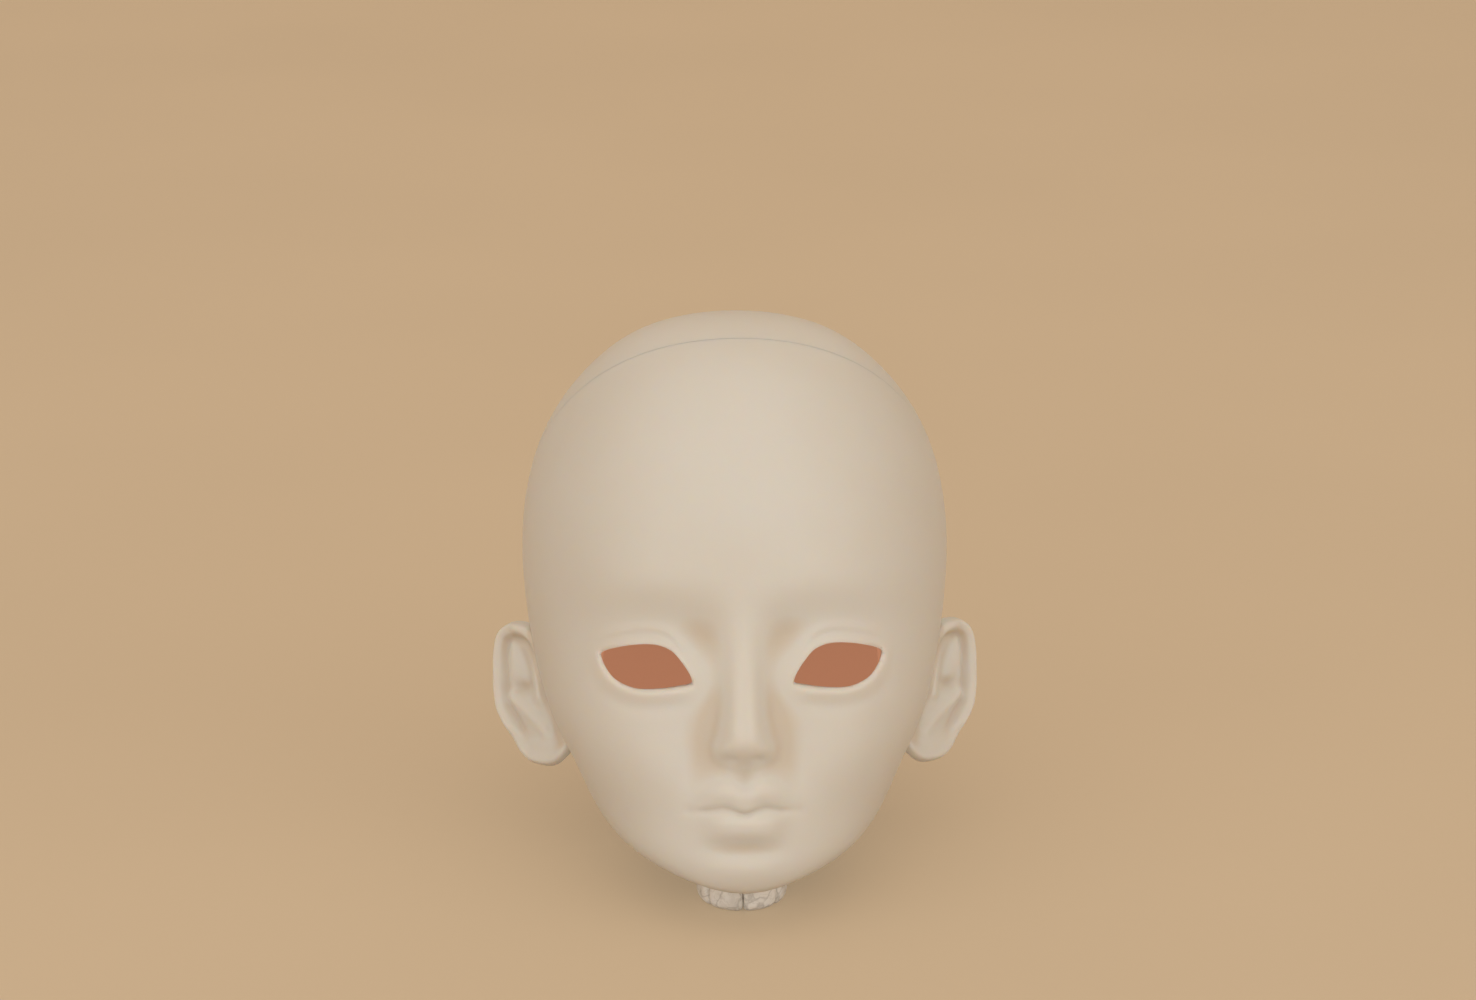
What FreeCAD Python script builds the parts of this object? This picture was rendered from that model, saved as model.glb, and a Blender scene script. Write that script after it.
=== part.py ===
import FreeCAD, Part

import Sketcher

import math
import os

# Bare resin doll head at one third of life size, leaning back on its neck rim with the chin on
# a ring of stone beads. The face shell and the head cap are hollow castings that part on a
# slanted seam and hold to each other by magnets.
#
# Head frame: the face looks along -Y, the crown is up, and z = 0 is the bottom of the chin.
# Part frame: the head frame leaned back by head_lean, with the origin at the middle of the
# neck rim and +Z up.

# Driving sizes in millimetres, and angles in degrees where the name ends in lean or slope
SIZES = (
    ("head_height", 88.5),
    ("head_width", 66.4),
    ("head_depth", 78.0),
    ("head_lean", 17.0),
    ("wall", 4.6),
    ("eye_spacing", 28.8),
    ("eye_level", 34.0),
    ("eye_width", 13.7),
    ("eye_height", 6.8),
    ("eye_well_radius", 7.6),
    ("eye_well_toe", 0.6),
    ("lid_thickness", 1.2),
    ("nose_level", 20.0),
    ("nose_length", 25.0),
    ("nose_reach", 6.6),
    ("nose_width", 10.2),
    ("mouth_level", 13.3),
    ("mouth_width", 16.4),
    ("lip_reach", 1.7),
    ("ear_height", 22.4),
    ("ear_width", 12.6),
    ("ear_level", 28.8),
    ("ear_setback", 4.0),
    ("ear_flare_lean", 32.0),
    ("ear_thickness", 2.4),
    ("seam_slope", 40.0),
    ("seam_front", 17.8),
    ("seam_drop", 5.1),
    ("tongue_height", 1.2),
    ("tongue_thickness", 1.5),
    ("tongue_inset", 2.0),
    ("tongue_clearance", 0.3),
    ("magnet_diameter", 6.0),
    ("magnet_thickness", 3.0),
    ("magnet_clearance", 0.1),
    ("magnet_recess", 0.15),
    ("magnet_inset", 7.4),
    ("boss_wall", 1.6),
    ("neck_setback", 9.9),
    ("neck_rim_radius", 13.5),
    ("neck_opening_radius", 11.5),
    ("neck_seat_depth", 6.0),
    ("neck_seat_top_radius", 6.5),
    ("neck_floor", 4.5),
    ("neck_root_height", 12.0),
    ("neck_root_spread", 3.0),
    ("hook_hole_diameter", 10.0),
    ("hook_groove_width", 3.5),
    ("hook_groove_depth", 2.0),
    ("hook_groove_length", 24.0),
    ("ring_radius", 6.9),
    ("ring_height", 4.8),
    ("bead_width", 3.9),
    ("bead_chamfer", 1.0),
    ("bead_gap", 0.3),
    ("bead_bore_diameter", 1.3),
    ("cord_diameter", 1.0),
    ("ring_setback", 13.0),
    ("chin_gap", 0.3),
    ("overrun", 2.0),
)
BEAD_COUNT = 7

# Stations of the bare head from crown to chin: the height as a share of head_height, the half
# width of head_width, the front and the back of head_depth, and the two terms that square and
# pear the section, of its half width
HEAD_STATION_SHARES = (
    (1.000, 0.000, 0.038, 0.038, 0.00, 0.00),
    (0.979, 0.190, -0.123, 0.205, 0.00, 0.00),
    (0.919, 0.319, -0.272, 0.349, 0.01, -0.01),
    (0.827, 0.423, -0.382, 0.446, 0.02, -0.03),
    (0.716, 0.482, -0.447, 0.506, 0.03, -0.04),
    (0.599, 0.500, -0.474, 0.526, 0.04, -0.05),
    (0.486, 0.491, -0.473, 0.503, 0.05, -0.05),
    (0.382, 0.468, -0.454, 0.446, 0.06, -0.04),
    (0.288, 0.434, -0.446, 0.372, 0.06, -0.02),
    (0.203, 0.375, -0.446, 0.303, 0.05, 0.00),
    (0.129, 0.327, -0.447, 0.218, 0.03, 0.00),
    (0.068, 0.247, -0.444, -0.090, 0.02, 0.00),
    (0.023, 0.127, -0.428, -0.310, 0.00, 0.00),
    (0.000, 0.000, -0.397, -0.397, 0.00, 0.00),
)
LAST_STATION = len(HEAD_STATION_SHARES) - 1
# Rows of facets between each two stations, closest over the eyes, nose and lips
ROWS_BETWEEN_STATIONS = (2, 2, 2, 2, 2, 3, 5, 5, 5, 6, 4, 2, 2)
HEAD_COLUMNS = 42
FACE_CROWDING_SHARE = 0.55
CORE_ROWS_BETWEEN_STATIONS = (2, 2, 2, 2, 2, 2, 2, 2, 2)
CORE_COLUMNS = 24
CORE_CROWDING_SHARE = 0.2
RIM_COLUMNS = 32
EYE_WELL_COLUMNS = 18
EYE_WELL_ROWS = 8
# The face's features are whole within the first cosine of the turn from the front and gone at the
# second
FACE_EDGE_SHARES = (0.45, 0.05)
# Steps of a station and a turn, for the slope of the surface and the end of a search
SLOPE_STEP_SHARE = 1e-3
SEARCH_END_SHARE = 1e-6

# Mounds and hollows: the middle across and up, the reach across and up, and the rise. On the face
# they are shares of head_width, head_height and head_depth, from the chin's lowest point
FACE_MOUND_SHARES = {
    "brow": (0.211, 0.531, 0.136, 0.041, 0.004),
    "temple": (0.392, 0.429, 0.090, 0.079, -0.010),
    "cheek": (0.248, 0.232, 0.136, 0.090, 0.015),
    "nose_fold": (0.108, 0.209, 0.027, 0.051, -0.005),
    "muzzle": (0.000, 0.158, 0.128, 0.062, 0.017),
    "under_lip": (0.000, 0.089, 0.090, 0.019, -0.013),
    "chin": (0.000, 0.045, 0.098, 0.036, 0.012),
}
# Round the eye they are shares of eye_width both ways and of head_depth, from the eye's middle
EYE_MOUND_SHARES = {
    "lids": (0.00, 0.00, 0.60, 0.36, 0.012),
    "socket": (0.08, 0.44, 0.66, 0.34, -0.014),
    "inner_hollow": (-0.53, 0.29, 0.28, 0.38, -0.018),
}
# At the nose they are shares of nose_width, nose_length and nose_reach, from the nose's base
NOSE_MOUND_SHARES = {
    "wing": (0.36, 0.052, 0.157, 0.064, 0.26),
    "nostril": (0.17, -0.004, 0.088, 0.022, -0.08),
}
# At the mouth they are shares of mouth_width both ways and of lip_reach, from the line between
# the lips
MOUTH_MOUND_SHARES = {
    "upper_lip": (0.15, 0.095, 0.17, 0.082, 0.75),
    "lower_lip": (0.12, -0.130, 0.19, 0.100, 0.95),
    "line": (0.00, 0.000, 0.46, 0.026, -0.30),
    "corner": (0.50, -0.006, 0.055, 0.049, -0.20),
}
# The lid lines from the inner corner to the outer: the place along the eye as a share of
# eye_width, and the height from the eye's middle as a share of eye_height
UPPER_LID_SHARES = ((0.0, -0.34), (0.023, -0.19), (0.11, 0.09), (0.218, 0.345), (0.35, 0.475),
                    (0.487, 0.51), (0.65, 0.49), (0.80, 0.44), (0.93, 0.37), (1.0, 0.30))
LOWER_LID_SHARES = ((0.0, -0.36), (0.05, -0.385), (0.15, -0.42), (0.325, -0.465), (0.57, -0.475),
                    (0.72, -0.40), (0.866, -0.22), (0.962, 0.06), (1.0, 0.28))
# The nose from brow to base: the height over the base as a share of nose_length, the reach of
# nose_reach and the half thickness of nose_width
NOSE_SHARES = ((1.04, 0.0, 0.51), (0.92, 0.04, 0.45), (0.80, 0.14, 0.40), (0.68, 0.27, 0.37),
               (0.56, 0.42, 0.36), (0.40, 0.62, 0.37), (0.28, 0.80, 0.38), (0.20, 0.94, 0.39),
               (0.144, 1.0, 0.39), (0.096, 0.95, 0.38), (0.056, 0.79, 0.37), (0.02, 0.53, 0.36),
               (-0.016, 0.26, 0.35), (-0.052, 0.09, 0.34), (-0.096, 0.02, 0.33),
               (-0.16, 0.0, 0.33))
NOSE_FLATNESS = 3
# The ear's profile from the bottom of the bowl over the fold and the rim to the root inside the
# wall: the distance out as a share of the outline, and the height off the ear's plane as a share
# of ear_thickness, where the rim stands and at the lobe
EAR_PROFILE_SHARES = ((0.0, -1.45, -1.10), (0.28, -1.35, -0.75), (0.48, -0.75, -0.15),
                      (0.61, -0.05, 0.10), (0.72, -0.10, 0.18), (0.80, -0.38, 0.22),
                      (0.88, 0.20, 0.22), (0.95, 0.46, 0.12), (1.0, 0.15, -0.10),
                      (0.985, -0.35, -0.42), (0.90, -0.72, -0.72), (0.74, -1.3, -1.2),
                      (0.62, -2.4, -2.2), (0.55, -3.6, -3.4), (0.0, -3.6, -3.4))
EAR_COLUMNS = 18
EAR_ROWS = 14
# The lobe begins and is whole at these sines of the turn down the ear; the outline narrows to the
# lobe and leans back by shares of its half width and height, and the ear stands off the head by a
# share of its flare
EAR_LOBE_SHARES = (0.55, 0.95)
EAR_NARROWING_SHARE = 0.24
EAR_RAKE_SHARE = 0.20
EAR_STAND_SHARE = 0.85

document = FreeCAD.newDocument("doll_head")
sheet = document.addObject("Spreadsheet::Sheet", "sizes")
for line, (alias, value) in enumerate(SIZES, 1):
    sheet.set(f"A{line}", alias)
    sheet.set(f"B{line}", str(value))
    sheet.setAlias(f"B{line}", alias)
document.recompute()
sheet_values = {alias: float(getattr(sheet, alias)) for alias, _ in SIZES}


def size(alias):
    """The value of one driving size, as the sheet has it."""
    return sheet_values[alias]


def smooth_step(value, low, high):
    """0 below low and 1 above high, with a smooth rise between."""
    part = min(max((value - low) / (high - low), 0.0), 1.0)
    return part ** 3 * (part * (6 * part - 15) + 10)


def mound(across, up, reach_across, reach_up):
    """1 in the middle, falling smoothly to nothing past the reach."""
    return math.exp(-(across / reach_across) ** 2 - (up / reach_up) ** 2)


def mounds(table, across, up, width, height, rise):
    """The sum of a table of mounds and hollows at a place, in its three sizes."""
    return rise * sum(share * mound(across - x * width, up - z * height,
                                    reach_x * width, reach_z * height)
                      for x, z, reach_x, reach_z, share in table.values())


def along(places, column, at):
    """The value in a column of a table at a place, smooth through its lines."""
    table = sorted(places)
    last = len(table) - 1
    slopes = []
    for k in range(last + 1):
        low, high = table[max(k - 1, 0)], table[min(k + 1, last)]
        slopes.append((high[column] - low[column]) / (high[0] - low[0]))
    k = 0
    while k < last - 1 and at > table[k + 1][0]:
        k += 1
    gap = table[k + 1][0] - table[k][0]
    u = min(max((at - table[k][0]) / gap, 0.0), 1.0)
    return (table[k][column] * (2 * u ** 3 - 3 * u ** 2 + 1)
            + table[k + 1][column] * (3 * u ** 2 - 2 * u ** 3)
            + gap * slopes[k] * (u ** 3 - 2 * u ** 2 + u)
            + gap * slopes[k + 1] * (u ** 3 - u ** 2))


def station_curve(values, odd):
    """A smooth curve through values at whole numbers, mirrored past both ends."""
    sign = -1.0 if odd else 1.0
    mirrored = [sign * values[2], sign * values[1], *values, sign * values[-2], sign * values[-3]]
    poles = list(mirrored)
    for k in range(1, len(mirrored) - 1):
        bend = mirrored[k - 1] - 2 * mirrored[k] + mirrored[k + 1]
        poles[k] = mirrored[k] - bend / 6

    def value(place):
        k = min(max(int(place), 0), len(values) - 2)
        u = place - k
        weights = ((1 - u) ** 3, 3 * u ** 3 - 6 * u ** 2 + 4,
                   -3 * u ** 3 + 3 * u ** 2 + 3 * u + 1, u ** 3)
        return sum(weight * poles[k + 1 + n] for n, weight in enumerate(weights)) / 6

    return value


# The bare head as curves over the stations
heights, half_widths, fronts, backs, squares, pears = zip(*HEAD_STATION_SHARES)
height_at = station_curve([share * size("head_height") for share in heights], False)
half_width_at = station_curve([share * size("head_width") for share in half_widths], True)
middle_at = station_curve([(front + back) / 2 * size("head_depth")
                           for front, back in zip(fronts, backs)], False)
half_depth_at = station_curve([(back - front) / 2 * size("head_depth")
                               for front, back in zip(fronts, backs)], True)
square_at = station_curve(squares, False)
pear_at = station_curve(pears, False)


def bare_head(station, turn):
    """A point of the head without features, at a turn round from the face."""
    square = square_at(station)
    side = math.sin(turn) + square * math.sin(3 * turn) + pear_at(station) * math.sin(2 * turn)
    return FreeCAD.Vector(half_width_at(station) * side / (1 - square),
                          middle_at(station) - half_depth_at(station) * math.cos(turn),
                          height_at(station))


def lid_lines(across):
    """The heights of the upper and lower lid lines at a place across the face."""
    part = (across - size("eye_spacing") / 2) / size("eye_width") + 0.5
    part = min(max(part, 0.0), 1.0)
    upper = size("eye_level") + size("eye_height") * along(UPPER_LID_SHARES, 1, part)
    lower = size("eye_level") + size("eye_height") * along(LOWER_LID_SHARES, 1, part)
    return upper, lower


def raised(across, up, front):
    """The height of the face over the plane y = 0, from the bare head's height there."""
    side = abs(across)
    eye_width = size("eye_width")
    front += mounds(FACE_MOUND_SHARES, side, up,
                    size("head_width"), size("head_height"), size("head_depth"))
    front += mounds(EYE_MOUND_SHARES, side - size("eye_spacing") / 2, up - size("eye_level"),
                    eye_width, eye_width, size("head_depth"))
    front += mounds(MOUTH_MOUND_SHARES, side, up - size("mouth_level"),
                    size("mouth_width"), size("mouth_width"), size("lip_reach"))
    over_base = up - size("nose_level")
    front += mounds(NOSE_MOUND_SHARES, side, over_base,
                    size("nose_width"), size("nose_length"), size("nose_reach"))
    part = over_base / size("nose_length")
    half = along(NOSE_SHARES, 2, part) * size("nose_width")
    ridge = math.exp(-(side / half) ** NOSE_FLATNESS)
    return front + along(NOSE_SHARES, 1, part) * size("nose_reach") * ridge


def face_point(station, turn):
    """A point of the head with its features, which fade out round the side."""
    point = bare_head(station, turn)
    whole, gone = FACE_EDGE_SHARES
    share = smooth_step(math.cos(turn), gone, whole)
    if share:
        point.y = point.y * (1 - share) - raised(point.x, point.z, -point.y) * share
    return point


def inner_point(station, turn, inset):
    """A point that lies the inset under the bare head's surface, square to it."""
    step = SLOPE_STEP_SHARE
    point = bare_head(station, turn)
    down = bare_head(station + step, turn) - bare_head(max(station - step, 0), turn)
    round_ = bare_head(station, turn + step) - bare_head(station, turn - step)
    inward = round_.cross(down)
    if station == 0:
        return point - FreeCAD.Vector(0, 0, inset)
    return point + inward.normalize() * inset


def facet_solid(rows):
    """A closed solid of flat facets through rows of points, each end row a single point."""
    count = len(rows[1])
    facets = []
    for upper, lower in zip(rows, rows[1:]):
        for k in range(count):
            n = (k + 1) % count
            corners = (upper[k % len(upper)], upper[n % len(upper)],
                       lower[n % len(lower)], lower[k % len(lower)])
            if len(upper) > 1:
                facets.append((corners[0], corners[1], corners[2]))
            if len(lower) > 1:
                facets.append((corners[0], corners[2], corners[3]))
    faces = [Part.Face(Part.makePolygon([*facet, facet[0]])) for facet in facets]
    shell = Part.makeShell(faces)
    shell.sewShape()
    solid = Part.Solid(shell)
    if solid.Volume < 0:
        solid.reverse()
    return solid


def turns(count, crowding):
    """Turns round the head, crowded toward the face by a share."""
    even = [2 * math.pi * k / count for k in range(count)]
    return [turn - crowding * math.sin(turn) for turn in even]


def stations(rows_between):
    """Stations down the head, with a number of rows between each two."""
    return [station + row / rows for station, rows in enumerate(rows_between)
            for row in range(rows)] + [float(len(rows_between))]


def head_skin():
    """The outside of the head with its face."""
    return facet_solid([[face_point(0, 0)], *face_rows, [face_point(LAST_STATION, 0)]])


def head_core():
    """The hollow of the head: the bare head less the wall, closed low over the neck."""
    inset = size("wall")
    rows = [[inner_point(station, turn, inset) for turn in turns(CORE_COLUMNS, CORE_CROWDING_SHARE)]
            for station in stations(CORE_ROWS_BETWEEN_STATIONS)[1:]]
    lowest = FreeCAD.Vector(0, 0, min(point.z for point in rows[-1]) - inset)
    return facet_solid([[inner_point(0, 0, inset)], *rows, [lowest]])


def ear_point(root, side, row, turn):
    """A point of an ear at a row down its profile and a turn from its rear edge."""
    lobe = smooth_step(-math.sin(turn), *EAR_LOBE_SHARES)
    table = [(k, out, rim * (1 - lobe) + low * lobe)
             for k, (out, rim, low) in enumerate(EAR_PROFILE_SHARES)]
    out, off = along(table, 1, row), along(table, 2, row) * size("ear_thickness")
    half_width, half_height = size("ear_width") / 2, size("ear_height") / 2
    narrowing = 1 + EAR_NARROWING_SHARE * math.sin(turn)
    up = half_height * math.sin(turn) * out
    back = half_width * math.cos(turn) * narrowing * out + EAR_RAKE_SHARE * up
    flare = math.radians(size("ear_flare_lean"))
    return FreeCAD.Vector(side * (root.x + back * math.sin(flare) + off * math.cos(flare)),
                          root.y + back * math.cos(flare) - off * math.sin(flare),
                          root.z + up)


def search(above, low, high):
    """The station where a question over the stations stops being true."""
    while high - low > SEARCH_END_SHARE:
        station = (low + high) / 2
        if above(station):
            low = station
        else:
            high = station
    return low


def ear_root():
    """The middle of an ear's plane, standing off the side of the head by the flare."""
    level = size("ear_level")
    station = search(lambda place: height_at(place) > level, 0.0, float(LAST_STATION))
    stand = size("ear_width") / 2 * math.sin(math.radians(size("ear_flare_lean")))
    return FreeCAD.Vector(half_width_at(station) + stand * EAR_STAND_SHARE,
                          size("ear_setback"), level)


def ear_skin(side):
    """One ear with its bowl, fold and rim, rooted in the wall."""
    last = len(EAR_PROFILE_SHARES) - 1
    root = ear_root()
    rows = [[ear_point(root, side, last * row / EAR_ROWS, 2 * math.pi * k / EAR_COLUMNS)
             for k in range(EAR_COLUMNS)] for row in range(1, EAR_ROWS)]
    return facet_solid([[ear_point(root, side, 0, 0)], *rows, [ear_point(root, side, last, 0)]])


# The seam plane and the part frame, in the head frame
slope = math.radians(size("seam_slope"))
seam_point = FreeCAD.Vector(0, -size("seam_front"), size("head_height") - size("seam_drop"))
seam_normal = FreeCAD.Vector(0, math.sin(slope), math.cos(slope))
seam_turn = FreeCAD.Rotation(FreeCAD.Vector(1, 0, 0), -size("seam_slope"))
lean = FreeCAD.Rotation(FreeCAD.Vector(1, 0, 0), -size("head_lean"))


def seam_ring(inset, turn):
    """The point of a surface under the skin that lies on the seam plane."""
    station = search(lambda place: (inner_point(place, turn, inset) - seam_point).dot(seam_normal)
                     > 0, 0.0, float(len(CORE_ROWS_BETWEEN_STATIONS)))
    point = inner_point(station, turn, inset)
    return point - seam_normal * (point - seam_point).dot(seam_normal)


def seam_face(inset):
    """The part of the seam plane that lies the inset under the skin."""
    ring = [seam_ring(inset, turn) for turn in turns(RIM_COLUMNS, 0)]
    return Part.Face(Part.makePolygon([*ring, ring[0]]))


face_rows = [[face_point(station, turn) for turn in turns(HEAD_COLUMNS, FACE_CROWDING_SHARE)]
             for station in stations(ROWS_BETWEEN_STATIONS)[1:-1]]
face_points = [point for row in face_rows for point in row]


def eye_well_middle(side):
    """The middle of an eye well, as far forward as leaves the lids their thickness."""
    radius = size("eye_well_radius")
    x, z = size("eye_spacing") / 2 - size("eye_well_toe"), size("eye_level")
    room = []
    for point in face_points:
        far = math.hypot(point.x - x, point.z - z)
        lower, upper = sorted(lid_lines(point.x))
        if point.y < 0 and far < radius and not lower < point.z < upper:
            room.append(point.y + math.sqrt(radius ** 2 - far ** 2))
    return FreeCAD.Vector(side * x, max(room) + size("lid_thickness"), z)


# The bead ring lies under the chin, and the chin stands off it by chin_gap
chin_front = lean.multVec(face_point(LAST_STATION, 0)).y
ring_line = chin_front + size("ring_setback")
ring_reach = size("ring_radius") + size("bead_width")
jaw = [lean.multVec(point) for point in face_points if point.z < size("mouth_level")]
over_ring = [point.z for point in jaw if math.hypot(point.x, point.y - ring_line) < ring_reach]
rim_level = min(over_ring) - size("chin_gap") - size("ring_height")
# The neck axis passes the head frame's point at neck_setback behind the ear line
neck_line = lean.multVec(FreeCAD.Vector(0, size("neck_setback"), 0)).y + math.tan(
    math.radians(size("head_lean"))) * rim_level
origin = FreeCAD.Vector(0, -neck_line, -rim_level)
head_place = FreeCAD.Placement(origin, lean)


def add_form(name, shape, placement=None):
    """A freeform shape as an object of the document."""
    form = document.addObject("Part::Feature", name)
    form.Label = name
    form.Shape = shape
    if placement is not None:
        form.Placement = placement
    return form


def add_round(kind, name, placement, **bindings):
    """A primitive whose sizes are bound to the sheet."""
    form = document.addObject(kind, name)
    form.Label = name
    for key, expression in bindings.items():
        form.setExpression(key, expression)
    form.Placement = placement
    return form


def combine(kind, name, shapes):
    """A boolean of document objects."""
    form = document.addObject(kind, name)
    form.Label = name
    if kind == "Part::Cut":
        form.Base, form.Tool = shapes
    else:
        form.Shapes = shapes
    form.Refine = False
    return form


def cut_in_turn(name, form, tools):
    """A form less one tool after another, with the name on the last result."""
    for tool in tools[:-1]:
        form = combine("Part::Cut", f"{name}_less_{tool.Label}", (form, tool))
    return combine("Part::Cut", name, (form, tools[-1]))


def seam_place(point, below):
    """A placement on the seam plane at a point, moved down square to it."""
    return head_place * FreeCAD.Placement(point - seam_normal * below, seam_turn)


# Everything from here on is in the part frame
skin = add_form("head_skin", head_skin(), head_place)
ears = [add_form(f"ear_skin_{name}", ear_skin(side), head_place)
        for side, name in ((-1, "left"), (1, "right"))]
root = add_round("Part::Cone", "neck_root", FreeCAD.Placement(),
                 Radius1="sizes.neck_rim_radius",
                 Radius2="sizes.neck_rim_radius + sizes.neck_root_spread",
                 Height="sizes.neck_root_height")
closed_head = combine("Part::MultiFuse", "closed_head", [skin, *ears, root])

# The hollow stops at the neck floor and leaves the magnet bosses standing
floor_level = size("neck_seat_depth") + size("neck_floor")
core = add_form("head_core", head_core(), head_place)
half_span = size("head_height") + size("head_depth")
over_floor = add_round("Part::Box", "over_floor",
                       FreeCAD.Placement(FreeCAD.Vector(-half_span, -half_span, floor_level),
                                         FreeCAD.Rotation()),
                       Length="2 * (sizes.head_height + sizes.head_depth)",
                       Width="2 * (sizes.head_height + sizes.head_depth)",
                       Height="2 * (sizes.head_height + sizes.head_depth)")
hollow = combine("Part::MultiCommon", "hollow_over_floor", [core, over_floor])
MAGNET_TURNS = {"front": 0.0, "right": math.pi / 2, "back": math.pi, "left": -math.pi / 2}
magnet_points = {name: seam_ring(size("magnet_inset"), turn) for name, turn in MAGNET_TURNS.items()}
boss_depth = size("magnet_recess") + size("magnet_thickness") + size("boss_wall")
bosses = [add_round("Part::Cylinder", f"boss_{name}", seam_place(point, boss_depth),
                    Radius="sizes.magnet_diameter / 2 + sizes.magnet_clearance + sizes.boss_wall",
                    Height="2 * (sizes.magnet_recess + sizes.magnet_thickness + sizes.boss_wall)")
          for name, point in magnet_points.items()]
all_bosses = combine("Part::MultiFuse", "all_bosses", bosses)
cavity = combine("Part::Cut", "cavity", (hollow, all_bosses))


def eye_outline():
    """The outline of an eye opening in the plane y = 0, as one closed wire."""
    inner = size("eye_spacing") / 2 - size("eye_width") / 2
    places = [inner + share * size("eye_width") for share, _ in UPPER_LID_SHARES]
    upper = [FreeCAD.Vector(x, 0, lid_lines(x)[0]) for x in places]
    places = [inner + share * size("eye_width") for share, _ in LOWER_LID_SHARES]
    lower = [FreeCAD.Vector(x, 0, lid_lines(x)[1]) for x in places]
    lower[0], lower[-1] = upper[0], upper[-1]
    wires = []
    for points in (upper, lower[::-1]):
        curve = Part.BSplineCurve()
        curve.interpolate(points)
        wires.append(curve.toShape())
    return Part.Wire(wires)


def eye_well():
    """The round well that an eye sits in, about its own middle."""
    radius = size("eye_well_radius")
    rows = []
    for row in range(1, EYE_WELL_ROWS):
        dip = math.pi * row / EYE_WELL_ROWS
        rows.append([FreeCAD.Vector(radius * math.sin(dip) * math.sin(turn),
                                    -radius * math.cos(dip),
                                    radius * math.sin(dip) * math.cos(turn))
                     for turn in turns(EYE_WELL_COLUMNS, 0)])
    return facet_solid([[FreeCAD.Vector(0, -radius, 0)], *rows, [FreeCAD.Vector(0, radius, 0)]])


def eye_opening(middle):
    """The way through the lids, from the well's middle out past the face."""
    outline = Part.Face(eye_outline())
    if middle.x < 0:
        outline = outline.mirror(FreeCAD.Vector(), FreeCAD.Vector(1, 0, 0))
    outline.translate(FreeCAD.Vector(0, middle.y, 0))
    return outline.extrude(FreeCAD.Vector(0, -size("head_depth"), 0))


small_openings = []
for side, name in ((-1, "left"), (1, "right")):
    middle = eye_well_middle(side)
    small_openings.append(add_form(f"eye_well_{name}", eye_well(), head_place * FreeCAD.Placement(
        middle, FreeCAD.Rotation())))
    small_openings.append(add_form(f"eye_opening_{name}", eye_opening(middle), head_place))
small_openings.append(add_round("Part::Cone", "neck_seat", FreeCAD.Placement(),
                                Radius1="sizes.neck_opening_radius",
                                Radius2="sizes.neck_seat_top_radius",
                                Height="sizes.neck_seat_depth"))
small_openings.append(add_round("Part::Cylinder", "hook_hole", FreeCAD.Placement(),
                                Radius="sizes.hook_hole_diameter / 2",
                                Height="sizes.neck_root_height + sizes.neck_floor"))
groove_corner = FreeCAD.Vector(-size("hook_groove_length") / 2, -size("hook_groove_width") / 2,
                               floor_level - size("hook_groove_depth"))
small_openings.append(add_round("Part::Box", "hook_groove",
                                FreeCAD.Placement(groove_corner, FreeCAD.Rotation()),
                                Length="sizes.hook_groove_length",
                                Width="sizes.hook_groove_width",
                                Height="sizes.hook_groove_depth + sizes.overrun"))
eyes_and_neck = combine("Part::MultiFuse", "eyes_and_neck", small_openings)

# The seam parts the hollow head into the shell under it and the cap over it
over_seam = add_round("Part::Box", "over_seam",
                      seam_place(seam_point, 0) * FreeCAD.Placement(
                          FreeCAD.Vector(-half_span, -half_span, 0), FreeCAD.Rotation()),
                      Length="2 * (sizes.head_height + sizes.head_depth)",
                      Width="2 * (sizes.head_height + sizes.head_depth)",
                      Height="sizes.head_height + sizes.head_depth")
cap_blank = combine("Part::MultiCommon", "cap_blank", [skin, over_seam])


def seam_band(inset, width, below, above):
    """A band along the seam, an inset under the skin, from below the plane to above it."""
    face = seam_face(inset)
    if width:
        face = face.cut(seam_face(inset + width))
    face.translate(seam_normal * -below)
    return face.extrude(seam_normal * (below + above))


keepouts = combine("Part::MultiFuse", "boss_keepouts", [
    add_round("Part::Cylinder", f"keepout_{name}", seam_place(point, boss_depth),
              Radius="sizes.magnet_diameter / 2 + sizes.magnet_clearance + sizes.boss_wall"
                     " + sizes.tongue_clearance",
              Height="2 * (sizes.magnet_recess + sizes.magnet_thickness + sizes.boss_wall)")
    for name, point in magnet_points.items()])
# The rebate is twice as wide as the wall, so that it opens to the hollow where the seam cuts the
# wall aslant
rebate_band = add_form("rebate_band", seam_band(
    size("tongue_inset"), 2 * size("wall"), size("tongue_height") + size("tongue_clearance"),
    size("overrun")), head_place)
rebate = combine("Part::Cut", "rebate", (rebate_band, all_bosses))
tongue_band = add_form("tongue_band", seam_band(
    size("tongue_inset") + size("tongue_clearance"), size("tongue_thickness"),
    size("tongue_height"), size("tongue_clearance")), head_place)
tongue = combine("Part::Cut", "tongue", (tongue_band, keepouts))
pocket_depth = size("magnet_recess") + size("magnet_thickness")
pockets = combine("Part::MultiFuse", "magnet_pockets", [
    add_round("Part::Cylinder", f"magnet_pocket_{name}", seam_place(point, pocket_depth),
              Radius="sizes.magnet_diameter / 2 + sizes.magnet_clearance",
              Height="2 * (sizes.magnet_recess + sizes.magnet_thickness)")
    for name, point in magnet_points.items()])
rebate_and_pockets = combine("Part::MultiFuse", "rebate_and_pockets", [rebate, pockets])
face_shell = cut_in_turn("face_shell", closed_head,
                         [over_seam, cavity, eyes_and_neck, rebate_and_pockets])
hollow_cap = cut_in_turn("hollow_cap", cap_blank, [cavity, pockets])
head_cap = combine("Part::MultiFuse", "head_cap", [hollow_cap, tongue])
nodes = [face_shell, head_cap]

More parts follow.
